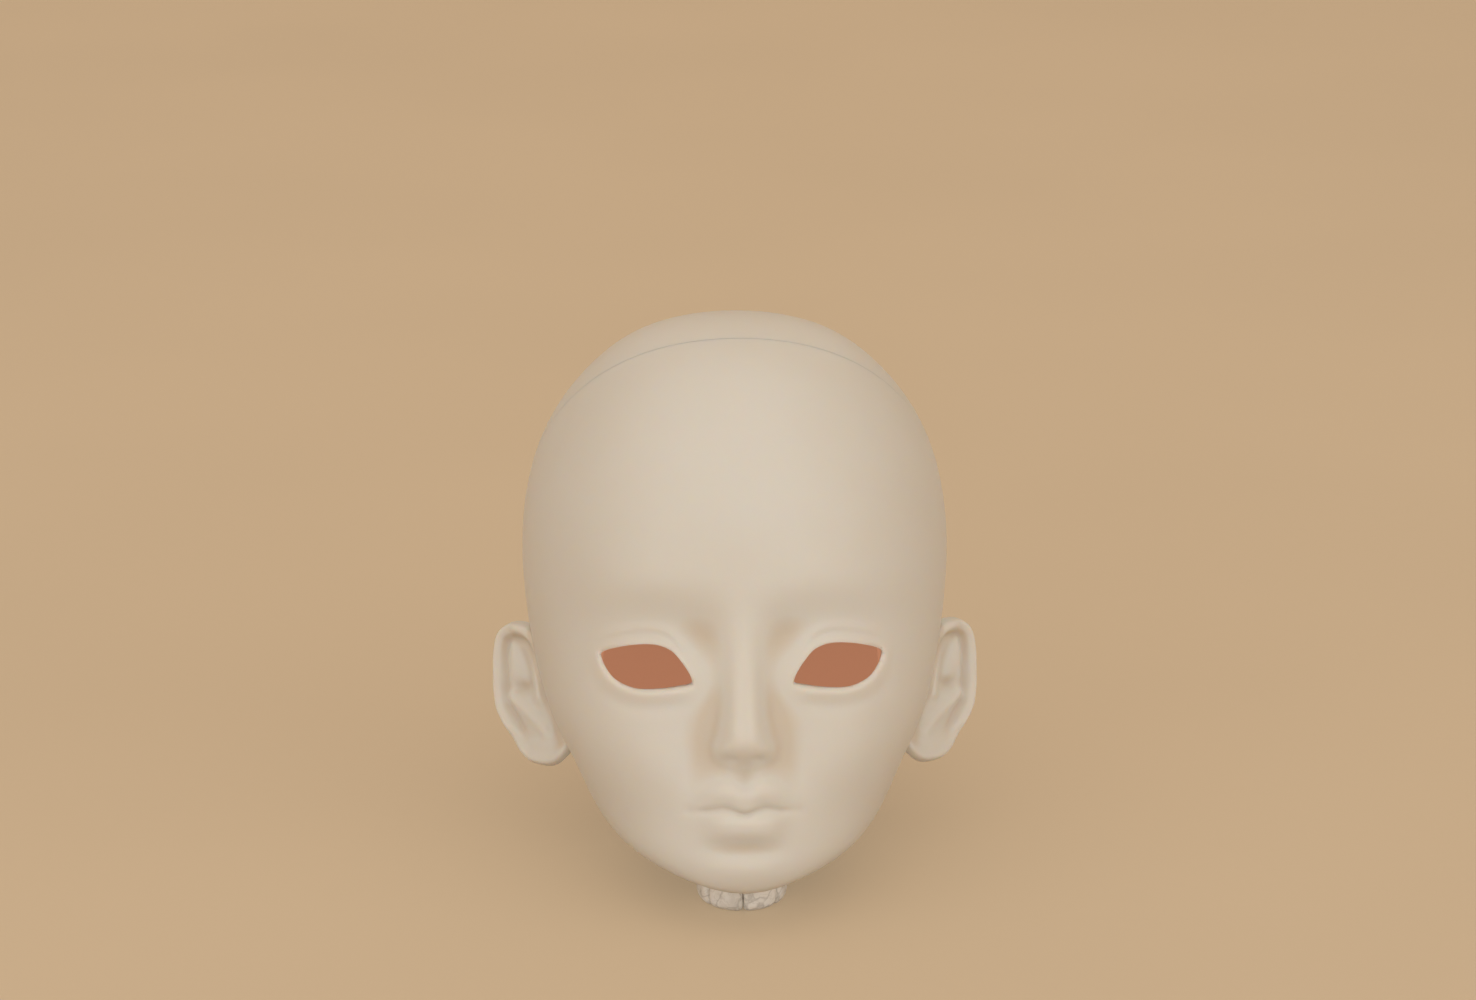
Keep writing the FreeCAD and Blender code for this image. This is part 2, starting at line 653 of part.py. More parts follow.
# A magnet lies on the floor of each pocket, and the two of a pair face each other at the seam
for name, point in magnet_points.items():
    for owner, below in (("face", pocket_depth), ("cap", -size("magnet_recess"))):
        nodes.append(add_round("Part::Cylinder", f"{owner}_magnet_{name}",
                               seam_place(point, below),
                               Radius="sizes.magnet_diameter / 2",
                               Height="sizes.magnet_thickness"))

# The chin rest: stone beads shaped as segments of a ring, on an elastic cord through their bores
ring_middle = FreeCAD.Vector(0, ring_line - neck_line, 0)
bore_line = size("ring_radius") - size("bead_width") / 2


def origin_part(body, role):
    """One of a body's own origin planes or axes."""
    return next(item for item in body.Origin.OriginFeatures if item.Role == role)


def add_sketch(body, name):
    """A sketch that stands upright through the ring's axis."""
    sketch = body.newObject("Sketcher::SketchObject", name)
    sketch.AttachmentSupport = [(origin_part(body, "XZ_Plane"), "")]
    sketch.MapMode = "FlatFace"
    return sketch


def constrain(sketch, kind, places, value, binding):
    """A distance bound to the sheet."""
    index = sketch.addConstraint(Sketcher.Constraint(kind, *places, value))
    sketch.setExpression(f"Constraints[{index}]", binding)


def bead_section(body, name):
    """The section of a bead, standing on the table beside the ring's axis."""
    sketch = add_sketch(body, name)
    outer, tall = size("ring_radius"), size("ring_height")
    inner = outer - size("bead_width")
    corners = [FreeCAD.Vector(x, y, 0) for x, y in
               ((inner, 0), (outer, 0), (outer, tall), (inner, tall))]
    for k, corner in enumerate(corners):
        sketch.addGeometry(Part.LineSegment(corner, corners[(k + 1) % 4]), False)
    for k in range(4):
        sketch.addConstraint(Sketcher.Constraint("Coincident", k, 2, (k + 1) % 4, 1))
        sketch.addConstraint(Sketcher.Constraint(("Horizontal", "Vertical")[k % 2], k))
    sketch.addConstraint(Sketcher.Constraint("PointOnObject", 0, 1, -1))
    constrain(sketch, "DistanceX", (-1, 1, 0, 2), outer, "sizes.ring_radius")
    constrain(sketch, "DistanceX", (0, 1, 0, 2), outer - inner, "sizes.bead_width")
    constrain(sketch, "DistanceY", (1, 1, 1, 2), tall, "sizes.ring_height")
    return sketch


def add_bead(name, turn):
    """One bead: a segment of the ring with chamfered outer rims and a bore for the cord."""
    body = document.addObject("PartDesign::Body", name)
    body.Label = name
    segment = body.newObject("PartDesign::Revolution", f"{name}_segment")
    segment.Profile = bead_section(body, f"{name}_section")
    segment.ReferenceAxis = (segment.Profile[0], ["V_Axis"])
    segment.Midplane = True
    segment.setExpression("Angle", f"360 / {BEAD_COUNT}"
                                   " - sizes.bead_gap / sizes.ring_radius * 180 / pi")
    document.recompute()
    rims = body.newObject("PartDesign::Chamfer", f"{name}_rims")
    arcs = [f"Edge{k}" for k, edge in enumerate(segment.Shape.Edges, 1)
            if isinstance(edge.Curve, Part.Circle) and edge.Curve.Radius > bore_line]
    rims.Base = (segment, arcs)
    rims.setExpression("Size", "sizes.bead_chamfer")
    bore_sketch = add_sketch(body, f"{name}_bore_circle")
    middle = FreeCAD.Vector(bore_line, size("ring_height") / 2, 0)
    bore_sketch.addGeometry(Part.Circle(middle, FreeCAD.Vector(0, 0, 1),
                                        size("bead_bore_diameter") / 2), False)
    constrain(bore_sketch, "DistanceX", (-1, 1, 0, 3), middle.x,
              "sizes.ring_radius - sizes.bead_width / 2")
    constrain(bore_sketch, "DistanceY", (-1, 1, 0, 3), middle.y, "sizes.ring_height / 2")
    constrain(bore_sketch, "Diameter", (0,), size("bead_bore_diameter"),
              "sizes.bead_bore_diameter")
    bore = body.newObject("PartDesign::Pocket", f"{name}_bore")
    bore.Profile = bore_sketch
    bore.Type = "ThroughAll"
    bore.Midplane = True
    body.Tip = bore
    body.Placement = FreeCAD.Placement(ring_middle, FreeCAD.Rotation(
        FreeCAD.Vector(0, 0, 1), math.degrees(turn)))
    return body


# A gap between two beads faces the front, as the photographed ring lies
bead_turn = 2 * math.pi / BEAD_COUNT
for k in range(BEAD_COUNT):
    nodes.append(add_bead(f"bead_{k + 1}", (k + 0.5) * bead_turn - math.pi / 2))


def cord_ring():
    """The elastic cord, pulled straight through each bore and bent between the beads."""
    corner_line = bore_line / math.cos(bead_turn / 2)
    level = size("ring_height") / 2
    corners = [FreeCAD.Vector(corner_line * math.cos(k * bead_turn - math.pi / 2),
                              corner_line * math.sin(k * bead_turn - math.pi / 2), level)
               for k in range(BEAD_COUNT)]
    start = (corners[-1] + corners[0]) / 2
    path = Part.makePolygon([start, *corners, start])
    section = Part.Wire(Part.makeCircle(size("cord_diameter") / 2, start,
                                        corners[0] - corners[-1]))
    right_corner = 1
    return Part.Wire(path.Edges).makePipeShell([section], True, True, right_corner)


nodes.append(add_form("bead_cord", cord_ring(), FreeCAD.Placement(ring_middle,
                                                                  FreeCAD.Rotation())))
document.recompute()

for item in document.Objects:
    if "Invalid" in item.State or "Error" in item.State:
        raise RuntimeError(f"{item.Label} did not recompute: {item.State}")
for node in nodes:
    if node.Shape.isNull() or not node.Shape.isValid():
        raise RuntimeError(f"{node.Label} has no valid shape")

os.makedirs("parts", exist_ok=True)
for node in nodes:
    node.Shape.exportStep(os.path.join("parts", f"{node.Label}.step"))
    print(node.Label, len(node.Shape.Solids), "solid", round(node.Shape.Volume, 1))
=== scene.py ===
import logging
import math
from dataclasses import dataclass
from enum import Enum
from typing import Sequence

import bpy
import numpy as np
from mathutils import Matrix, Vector


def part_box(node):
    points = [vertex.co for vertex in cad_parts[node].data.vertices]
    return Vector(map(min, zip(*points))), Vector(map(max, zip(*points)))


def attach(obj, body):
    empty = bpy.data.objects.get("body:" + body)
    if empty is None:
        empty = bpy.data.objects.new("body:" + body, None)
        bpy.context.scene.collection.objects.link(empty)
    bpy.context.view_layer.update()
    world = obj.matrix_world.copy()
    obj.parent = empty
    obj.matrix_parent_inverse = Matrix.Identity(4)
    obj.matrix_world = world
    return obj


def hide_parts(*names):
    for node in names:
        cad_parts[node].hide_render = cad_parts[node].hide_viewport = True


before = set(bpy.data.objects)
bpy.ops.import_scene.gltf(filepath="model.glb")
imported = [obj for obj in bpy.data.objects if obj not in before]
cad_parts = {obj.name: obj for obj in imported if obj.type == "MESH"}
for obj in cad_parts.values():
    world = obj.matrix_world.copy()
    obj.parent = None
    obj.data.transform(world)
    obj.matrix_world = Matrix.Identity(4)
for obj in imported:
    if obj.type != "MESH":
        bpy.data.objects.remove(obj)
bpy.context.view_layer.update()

# Looks of the bare resin doll head: a face shell and a head cap of cast resin, leaning back on
# the neck rim with the chin on a ring of marbled stone beads.
#
# Forms are worked out in the head frame in millimetres: the face looks along -Y, the crown is up,
# and z = 0 is the bottom of the chin. Meshes, the camera and the lamps are in metres in the part
# frame, which is the head frame leaned back.

logging.basicConfig(level=logging.INFO, format="%(message)s")
log = logging.getLogger("doll_head")

MM = 0.001
TINY = 1e-9
Colour = tuple[float, float, float]
Span = tuple[float, float]
Points = np.ndarray
Socket = bpy.types.NodeSocket

# Stations of the bare head from crown to chin: height, half width, front, back, and the two
# shares that square and pear the section
HEAD_STATIONS = np.array([
    (88.5, 0.0, 3.0, 3.0, 0.00, 0.00),
    (86.6, 12.6, -9.6, 16.0, 0.00, 0.00),
    (81.3, 21.2, -21.2, 27.2, 0.01, -0.01),
    (73.2, 28.1, -29.8, 34.8, 0.02, -0.03),
    (63.4, 32.0, -34.9, 39.5, 0.03, -0.04),
    (53.0, 33.2, -37.0, 41.0, 0.04, -0.05),
    (43.0, 32.6, -36.9, 39.2, 0.05, -0.05),
    (33.8, 31.1, -35.4, 34.8, 0.06, -0.04),
    (25.5, 28.8, -34.8, 29.0, 0.06, -0.02),
    (18.0, 24.9, -34.8, 23.6, 0.05, 0.00),
    (11.4, 21.7, -34.9, 17.0, 0.03, 0.00),
    (6.0, 16.4, -34.6, -7.0, 0.02, 0.00),
    (2.0, 8.4, -33.4, -24.2, 0.00, 0.00),
    (0.0, 0.0, -31.0, -31.0, 0.00, 0.00),
])
# How densely rows lie between each two stations: closest over the eyes, nose and lips
ROW_WEIGHTS = (3, 3, 3, 3, 3, 5, 8, 8, 8, 9, 7, 4, 3)

# Soft mounds and hollows of the face: middle across and up, reach across and up, rise
FACE_MOUNDS = {
    "brow": (14.0, 47.0, 9.0, 3.6, 0.3),
    "socket": (15.0, 40.2, 9.4, 4.2, -1.25),
    "inner_hollow": (6.4, 37.8, 4.4, 4.6, -1.25),
    "temple": (26.0, 38.0, 6.0, 7.0, -0.8),
    "lids": (14.3, 34.0, 8.2, 5.0, 0.9),
    "cheek": (16.5, 20.5, 9.0, 8.0, 1.2),
    "nose_fold": (6.8, 18.2, 2.0, 4.5, -0.30),
    "muzzle": (0.0, 14.0, 8.5, 5.5, 1.3),
    "under_lip": (0.0, 6.8, 6.0, 1.9, -0.4),
    "chin": (0.0, 3.8, 6.5, 3.2, 0.9),
    "nose_foot": (0.0, 25.0, 6.0, 6.5, 0.8),
    "nose_wing": (3.5, 21.9, 1.2, 1.5, 0.8),
    "nostril": (1.9, 20.5, 0.8, 0.5, -0.35),
}
# The nose from brow to base: height, rise, half thickness and flatness of its ridge
NOSE_LINE = np.array([
    (48.0, 0.0, 6.4, 2.0), (45.0, 0.15, 6.0, 2.0), (42.0, 0.45, 5.2, 2.0), (39.0, 1.05, 3.9, 2.0),
    (36.5, 1.6, 3.1, 2.2), (34.0, 2.1, 2.9, 2.5), (30.0, 2.9, 2.9, 2.8), (27.0, 3.7, 3.2, 3.0),
    (25.0, 4.2, 3.5, 3.2), (23.6, 4.4, 3.6, 3.2), (22.4, 4.2, 3.6, 3.2), (21.4, 3.6, 3.5, 3.2),
    (20.5, 2.65, 3.3, 3.0), (19.6, 1.6, 3.1, 3.0), (18.7, 0.8, 3.0, 3.0), (17.6, 0.25, 3.0, 3.0),
    (16.0, 0.0, 3.0, 3.0),
])
# The lid lines from the inner corner to the outer: share of the eye's width, and height from the
# eye's middle as a share of its height
UPPER_LID = np.array([(0.0, -0.34), (0.023, -0.19), (0.11, 0.09), (0.2175, 0.345), (0.35, 0.475),
                      (0.487, 0.51), (0.65, 0.49), (0.8, 0.44), (0.93, 0.37), (1.0, 0.30)])
LOWER_LID = np.array([(0.0, -0.36), (0.05, -0.385), (0.15, -0.42), (0.325, -0.465),
                      (0.57, -0.475), (0.72, -0.40), (0.866, -0.22), (0.962, 0.06), (1.0, 0.28)])
# The ear's outline in its own plane: how far back and how far up from the ear's middle
EAR_OUTLINE = np.array([
    (8.35, 3.0), (8.3, 0.0), (7.7, -2.8), (6.2, -5.3), (4.5, -7.5), (2.6, -9.8), (0.0, -11.2),
    (-4.2, -11.2), (-7.2, -8.6), (-6.8, -4.6), (-5.4, -0.6), (-4.2, 3.6), (-2.6, 7.6),
    (-0.2, 10.3), (2.6, 11.2), (5.4, 10.9), (7.4, 9.3), (8.25, 6.3),
])
# Ridges and creases drawn on the ear: half width, rise, and the line's points back and up
EAR_LINES = {
    "front_ridge": (1.1, 0.6, ((2.8, 9.9), (0.7, 8.8), (-0.5, 6.2), (-0.9, 2.6), (-1.2, -0.6))),
    "front_crease": (0.8, -0.25, ((3.4, 7.6), (2.4, 6.2), (1.5, 4.2), (1.0, 1.6))),
    "lower_ridge": (1.15, 0.6, ((4.8, -0.9), (2.6, -2.2), (0.2, -3.9), (-2.6, -5.9))),
}
# Bowls and hills of the ear: middle back and up, reach back and up, rise
EAR_MOUNDS = {
    "plateau": (4.2, 4.8, 1.7, 3.6, 0.5),
    "bowl": (2.6, 0.7, 1.9, 1.1, -0.75),
    "lobe": (-1.8, -8.6, 3.8, 2.4, 0.8),
}


def smooth_step(value: Points, low: float, high: float) -> Points:
    """0 below low and 1 above high, by u^3 (6u^2 - 15u + 10) between."""
    u = np.clip((value - low) / (high - low), 0.0, 1.0)
    return u ** 3 * (u * (6.0 * u - 15.0) + 10.0)


def window(value: Points, start: Span, end: Span) -> Points:
    """1 between two smooth steps, the first up over start and the second down over end."""
    return smooth_step(value, *start) * (1 - smooth_step(value, *end))


def bell(distance: Points, reach: float | Points, power: float | Points = 2.0) -> Points:
    """A bell about 0: exp(-|distance / reach|^power)."""
    return np.exp(-np.abs(distance / reach) ** power)


def mound(across: Points, up: Points, reach_across: float, reach_up: float) -> Points:
    """A round hill: exp(-(across / reach_across)^2 - (up / reach_up)^2)."""
    return np.exp(-(across / reach_across) ** 2 - (up / reach_up) ** 2)


def with_mounds(total: Points, table: dict[str, tuple[float, ...]], across: Points,
                up: Points) -> Points:
    """A rise with every mound of a table added.

    Args:
        total: The rise so far.
        table: Rows of middle across and up, reach across and up, and rise.
        across: Places across.
        up: Heights of the same places.

    Returns:
        The new rise, in the shape of total.
    """
    for x, z, reach_x, reach_z, rise in table.values():
        total = total + rise * mound(across - x, up - z, reach_x, reach_z)
    return total


def quarter_round(far: Points, radius: float | Points) -> Points:
    """A quarter circle that rises from an edge: sqrt(r^2 - (r - e)^2), with e = far within 0 to r."""
    left = radius - np.clip(far, 0.0, radius)
    return np.sqrt(radius ** 2 - left ** 2)


def through(places: Points, values: Points, at: Points) -> Points:
    """A smooth curve through points: cubic pieces whose slopes are those of the neighbours' chords.

    Args:
        places: Where the points stand, rising or falling.
        values: The heights of the points.
        at: Where the curve is wanted.

    Returns:
        The curve's heights, in the shape of at.
    """
    order = np.argsort(places)
    x, y = places[order], values[order]
    slopes = np.empty_like(y)
    slopes[1:-1] = (y[2:] - y[:-2]) / (x[2:] - x[:-2])
    slopes[0] = (y[1] - y[0]) / (x[1] - x[0])
    slopes[-1] = (y[-1] - y[-2]) / (x[-1] - x[-2])
    k = np.clip(np.searchsorted(x, at) - 1, 0, len(x) - 2)
    gap = x[k + 1] - x[k]
    u = np.clip((at - x[k]) / gap, 0.0, 1.0)
    return ((2 * u ** 3 - 3 * u ** 2 + 1) * y[k] + (3 * u ** 2 - 2 * u ** 3) * y[k + 1]
            + gap * (u ** 3 - 2 * u ** 2 + u) * slopes[k] + gap * (u ** 3 - u ** 2) * slopes[k + 1])


def station_curve(values: Points, at: Points, odd: bool = False) -> Points:
    """A uniform cubic B-spline by values at whole numbers, mirrored past both ends.

    Args:
        values: The values at stations 0, 1, 2 and so on.
        at: Stations where the curve is wanted.
        odd: Whether the mirrored values change sign, as a width does over a pole.

    Returns:
        The curve's values, in the shape of at.
    """
    sign = -1.0 if odd else 1.0
    whole = np.concatenate([sign * values[2:0:-1], values, sign * values[-2:-4:-1]])
    poles = whole.copy()
    poles[1:-1] -= (whole[:-2] - 2 * whole[1:-1] + whole[2:]) / 6.0
    k = np.clip(np.floor(at).astype(int), 0, len(values) - 2)
    u = at - k
    weights = ((1 - u) ** 3, 3 * u ** 3 - 6 * u ** 2 + 4, -3 * u ** 3 + 3 * u ** 2 + 3 * u + 1,
               u ** 3)
    return sum(weight * poles[k + 1 + n] for n, weight in enumerate(weights)) / 6.0


def distance_to(start: Points, end: Points, across: Points, up: Points) -> Points:
    """The shortest distance from places to straight stretches.

    Args:
        start: Where the stretches start, as rows of across and up.
        end: Where they end.
        across: Places across, in any shape.
        up: Heights of the same places.

    Returns:
        The distances, in the shape of across.
    """
    along = end - start
    off_x = across.reshape(-1, 1) - start[None, :, 0]
    off_z = up.reshape(-1, 1) - start[None, :, 1]
    share = (off_x * along[:, 0] + off_z * along[:, 1]) / (along ** 2).sum(1)
    share = np.clip(share, 0.0, 1.0)
    far = np.hypot(off_x - share * along[:, 0], off_z - share * along[:, 1]).min(1)
    return far.reshape(across.shape)


def turns(count: int, crowding: float = 0.0) -> Points:
    """Turns round from the front: even ones less crowding times their sine."""
    even = 2 * np.pi * np.arange(count) / count
    return even - crowding * np.sin(even)


@dataclass(frozen=True)
class EyeForm:
    """The opening between the lids, in the head frame's millimetres."""

    middle_x: float = 14.3
    middle_z: float = 33.95
    width: float = 13.7
    height: float = 6.8
    corner_blur: float = 0.30
    margin: float = 0.8
    upper_margin: float = 0.3
    outline_points: int = 192

    def lid_lines(self, side: Points) -> tuple[Points, Points]:
        """Heights of the lid lines.

        Args:
            side: Places to the side of the face's middle.

        Returns:
            The heights of the upper and of the lower lid.
        """
        share = np.clip((side - self.middle_x) / self.width + 0.5, 0.0, 1.0)
        upper = self.middle_z + self.height * through(UPPER_LID[:, 0], UPPER_LID[:, 1], share)
        lower = self.middle_z + self.height * through(LOWER_LID[:, 0], LOWER_LID[:, 1], share)
        return upper, lower

    def outline(self) -> Points:
        """The closed outline, even along its length and blurred so that its corners are round.

        Returns:
            Points as rows of x and z, anticlockwise seen from the front.
        """
        share = (1 - np.cos(np.linspace(0, np.pi, self.outline_points))) / 2
        side = self.middle_x + (share - 0.5) * self.width
        upper, lower = self.lid_lines(side)
        ring = np.concatenate([np.stack([side, lower], 1), np.stack([side, upper], 1)[::-1]])
        steps = np.hypot(*(np.roll(ring, -1, 0) - ring).T)
        length = np.concatenate([[0.0], np.cumsum(steps)])
        even = length[-1] * np.arange(self.outline_points) / self.outline_points
        closed = np.concatenate([ring, ring[:1]])
        ring = np.stack([np.interp(even, length, closed[:, n]) for n in range(2)], 1)
        waves = np.fft.fftfreq(self.outline_points, length[-1] / self.outline_points)
        blur = np.exp(-2 * (np.pi * self.corner_blur * waves) ** 2)[:, None]
        return np.real(np.fft.ifft(np.fft.fft(ring, axis=0) * blur, axis=0))

    def distance(self, side: Points, up: Points) -> Points:
        """Distance outside the outline, less than zero inside it.

        Args:
            side: Places to the side of the face's middle, as a flat array.
            up: Heights of the same places.

        Returns:
            The shortest distance to the outline's straight stretches, with its sign.
        """
        start = self.outline()
        end = np.roll(start, -1, 0)
        along = end - start
        far = distance_to(start, end, side, up)
        end_z = start[:, 1] + along[:, 1]
        crosses = (start[:, 1] > up[:, None]) != (end_z > up[:, None])
        rise = np.where(np.abs(along[:, 1]) > TINY, along[:, 1], 1.0)
        reach = start[:, 0] + along[:, 0] * (up[:, None] - start[:, 1]) / rise
        inside = (crosses & (side[:, None] < reach)).sum(1) % 2 == 1
        return np.where(inside, -far, far)


@dataclass(frozen=True)
class Fold:
    """A soft ridge, or with a negative rise a crease, that runs beside an edge."""

    away: float
    reach: float
    rise: float

    def at(self, far: Points) -> Points:
        """The rise at distances from the edge: rise exp(-((far - away) / reach)^2)."""
        return self.rise * bell(far - self.away, self.reach)


@dataclass(frozen=True)
class LidForm:
    """What surrounds the eye's opening. Spans are where a fold fades in or out."""

    ridge: Fold = Fold(2.6, 0.8, 0.14)
    crease: Fold = Fold(1.65, 0.42, -0.17)
    over_start: Span = (7.0, 11.5)
    over_end: Span = (18.5, 23.0)
    bag: Fold = Fold(0.9, 0.8, 0.14)
    bag_crease: Fold = Fold(2.7, 1.1, -0.20)
    under_start: Span = (6.0, 11.0)
    under_end: Span = (21.5, 24.0)
    below_lower_lid: Span = (-1.0, 0.5)
    lower_half: Span = (-1.0, 1.2)
    outer_half: Span = (3.0, 6.5)
    near_side: Span = (3.0, 26.0)
    near_up: Span = (26.0, 43.0)
    out_of_reach: float = 50.0


@dataclass(frozen=True)
class MouthForm:
    """The lips, in the head frame's millimetres."""

    level: float = 12.8
    half_width: float = 8.2
    upper_rise: float = 1.05
    upper_middle: float = 2.7
    upper_reach: Span = (6.3, 2.2)
    upper_power: float = 2.2
    cleft: Fold = Fold(0.0, 1.2, 0.15)
    lower_rise: float = 1.4
    lower_middle: float = 2.6
    lower_reach: Span = (5.2, 2.25)
    lower_power: float = 2.6
    end_power: float = 4.0
    line_peak: Fold = Fold(3.2, 1.7, 0.40)
    line_dip: Fold = Fold(0.0, 1.4, -0.40)
    line_depth: float = 0.42
    line_reach: float = 0.52
    line_fade: Span = (4.6, 8.6)
    line_middle: Fold = Fold(0.0, 1.6, 0.8)
    corner_depth: float = 0.15
    corner_drop: float = 0.1
    corner_reach: Span = (0.9, 0.8)

    def rise(self, side: Points, up: Points) -> Points:
        """Two soft pillows with a bowed line cut between them and a dimple at each corner.

        Args:
            side: Places to the side of the face's middle.
            up: Heights.

        Returns:
            The rise toward the front, in millimetres.
        """
        line = self.level + self.line_peak.at(side) + self.line_dip.at(side)
        over = up - line
        upper = (bell(side, self.upper_reach[0], self.end_power)
                 * bell(over - self.upper_middle, self.upper_reach[1], self.upper_power)
                 * (1 - self.cleft.at(side)))
        lower = (bell(side, self.lower_reach[0], self.end_power)
                 * bell(up - self.level + self.lower_middle, self.lower_reach[1],
                        self.lower_power))
        cut = (bell(over, self.line_reach) * (1 - smooth_step(side, *self.line_fade))
               * (1 + self.line_middle.at(side)))
        corner = mound(side - self.half_width, up - self.level + self.corner_drop,
                       *self.corner_reach)
        return (self.upper_rise * upper + self.lower_rise * lower - self.line_depth * cut
                - self.corner_depth * corner)


@dataclass(frozen=True)
class HeadForm:
    """The outside of the head with its face, in the head frame's millimetres."""

    eye: EyeForm = EyeForm()
    lids: LidForm = LidForm()
    mouth: MouthForm = MouthForm()
    philtrum: Fold = Fold(0.0, 1.0, 0.12)
    philtrum_start: Span = (15.3, 16.6)
    philtrum_end: Span = (18.2, 19.6)
    side_fade: Span = (0.05, 0.45)
    rows: int = 250
    columns: int = 300
    crowding: float = 0.55
    slope_step: float = 1e-3
    lid_stations: Span = (5.0, 10.0)
    lid_turns: Span = (0.0, 1.0)
    lid_grid: int = 200

    @property
    def last_station(self) -> int:
        """The station at the bottom of the chin."""
        return len(HEAD_STATIONS) - 1

    def bare(self, station: Points, turn: Points) -> Points:
        """The head without features.

        x = half width (sin a + square sin 3a + pear sin 2a) / (1 - square) and
        y = middle - half depth cos a at turn a, with every size a curve over the stations.

        Args:
            station: Stations down the head.
            turn: Turns round from the face.

        Returns:
            Points as an array with x, y and z last.
        """
        height, half_width, front, back, square, pear = HEAD_STATIONS.T
        k = station_curve(square, station)
        side = np.sin(turn) + k * np.sin(3 * turn) + station_curve(pear, station) * np.sin(2 * turn)
        x = station_curve(half_width, station, odd=True) * side / (1 - k)
        half_depth = station_curve((back - front) / 2, station, odd=True)
        y = station_curve((back + front) / 2, station) - half_depth * np.cos(turn)
        z = station_curve(height, station) + 0.0 * turn
        return np.stack([x, y, z], -1)

    def rise(self, across: Points, up: Points, lid_edges: bool = True) -> Points:
        """How far the face's features stand off the bare head.

        Args:
            across: Places across the face.
            up: Heights.
            lid_edges: Whether the rounded edges and folds of the lids are there too.

        Returns:
            The rise toward the front, in millimetres.
        """
        side = np.abs(across)
        total = with_mounds(np.zeros_like(side), FACE_MOUNDS, side, up)
        ridge, half, flatness = (through(NOSE_LINE[:, 0], NOSE_LINE[:, n], up) for n in (1, 2, 3))
        total += ridge * bell(side, half, flatness)
        total -= self.philtrum.at(side) * window(up, self.philtrum_start, self.philtrum_end)
        total += self.mouth.rise(side, up)
        if lid_edges:
            total += self.lid_rise(side, up)
        return total

    def lid_rise(self, side: Points, up: Points) -> Points:
        """The fold over the upper lid, the soft bag under the lower one and the rounded margin.

        Args:
            side: Places to the side of the face's middle.
            up: Heights.

        Returns:
            The rise toward the front, in millimetres.
        """
        eye, lids = self.eye, self.lids
        near = ((side > lids.near_side[0]) & (side < lids.near_side[1])
                & (up > lids.near_up[0]) & (up < lids.near_up[1]))
        far = np.full(side.shape, lids.out_of_reach)
        far[near] = eye.distance(side[near], up[near])
        upper, lower = eye.lid_lines(side)
        over = window(side, lids.over_start, lids.over_end)
        total = over * (lids.ridge.at(up - upper) + lids.crease.at(up - upper))
        under = (window(side, lids.under_start, lids.under_end)
                 * smooth_step(lower - up, *lids.below_lower_lid))
        total += under * (lids.bag.at(far) + lids.bag_crease.at(far))
        low = smooth_step((upper + lower) / 2 - up, *lids.lower_half)
        outer = smooth_step(side - eye.middle_x, *lids.outer_half)
        margin = eye.upper_margin + (eye.margin - eye.upper_margin) * np.maximum(low, outer)
        return total - (margin - quarter_round(far, margin))

    def face(self, station: Points, turn: Points, lid_edges: bool = True) -> Points:
        """The head with its features, which fade out by the side of the face.

        Args:
            station: Stations down the head.
            turn: Turns round from the face.
            lid_edges: Whether the edges of the lids are there too.

        Returns:
            Points as an array with x, y and z last.
        """
        points = self.bare(station, turn)
        share = smooth_step(np.cos(turn), *self.side_fade)
        points[..., 1] -= share * self.rise(points[..., 0], points[..., 2], lid_edges)
        return points

    def inner(self, station: Points, turn: Points, inset: float) -> Points:
        """The bare head moved inward, square to its surface.

        Args:
            station: Stations down the head.
            turn: Turns round from the face.
            inset: How far it is moved.

        Returns:
            Points as an array with x, y and z last.
        """
        step = self.slope_step
        down = self.bare(station + step, turn) - self.bare(np.maximum(station - step, 0), turn)
        round_ = self.bare(station, turn + step) - self.bare(station, turn - step)
        inward = np.cross(round_, down)
        length = np.linalg.norm(inward, axis=-1, keepdims=True)
        at_pole = np.array([0.0, 0.0, -1.0])
        inward = np.where(length > TINY, inward / np.maximum(length, TINY), at_pole)
        return self.bare(station, turn) + inset * inward

    def station_rows(self, count: int, last: float) -> Points:
        """Stations down the head, closest where ROW_WEIGHTS are largest.

        Args:
            count: How many rows there are.
            last: The station of the last row.

        Returns:
            The stations, from the crown down.
        """
        reach = np.concatenate([[0.0], np.cumsum(ROW_WEIGHTS)])
        end = np.interp(last, np.arange(len(reach)), reach)
        return np.interp(np.linspace(0, end, count), reach, np.arange(len(reach)))

    def skin(self) -> Points:
        """The whole outside as a grid of points.

        Returns:
            The grid, with rows from crown to chin and columns round from the face.
        """
        station = self.station_rows(self.rows, self.last_station)
        turn = turns(self.columns, self.crowding)
        return self.face(*np.meshgrid(station, turn, indexing="ij"))

    def eye_well_depth(self, toe: float, radius: float, lid: float) -> float:
        """How far back an eye well's middle lies, so that the lids keep their thickness.

        Args:
            toe: How far the well's middle lies in from the eye's middle.
            radius: The well's radius.
            lid: The least thickness of the lids.

        Returns:
            The y of the well's middle.
        """
        station, turn = np.meshgrid(np.linspace(*self.lid_stations, self.lid_grid),
                                    np.linspace(*self.lid_turns, self.lid_grid), indexing="ij")
        x, y, z = self.face(station, turn, lid_edges=False).reshape(-1, 3).T
        far = np.hypot(x - self.eye.middle_x + toe, z - self.eye.middle_z)
        near = far < radius
        near[near] = self.eye.distance(x[near], z[near]) > 0
        return float((y + np.sqrt(np.maximum(radius ** 2 - far ** 2, 0)))[near].max()) + lid


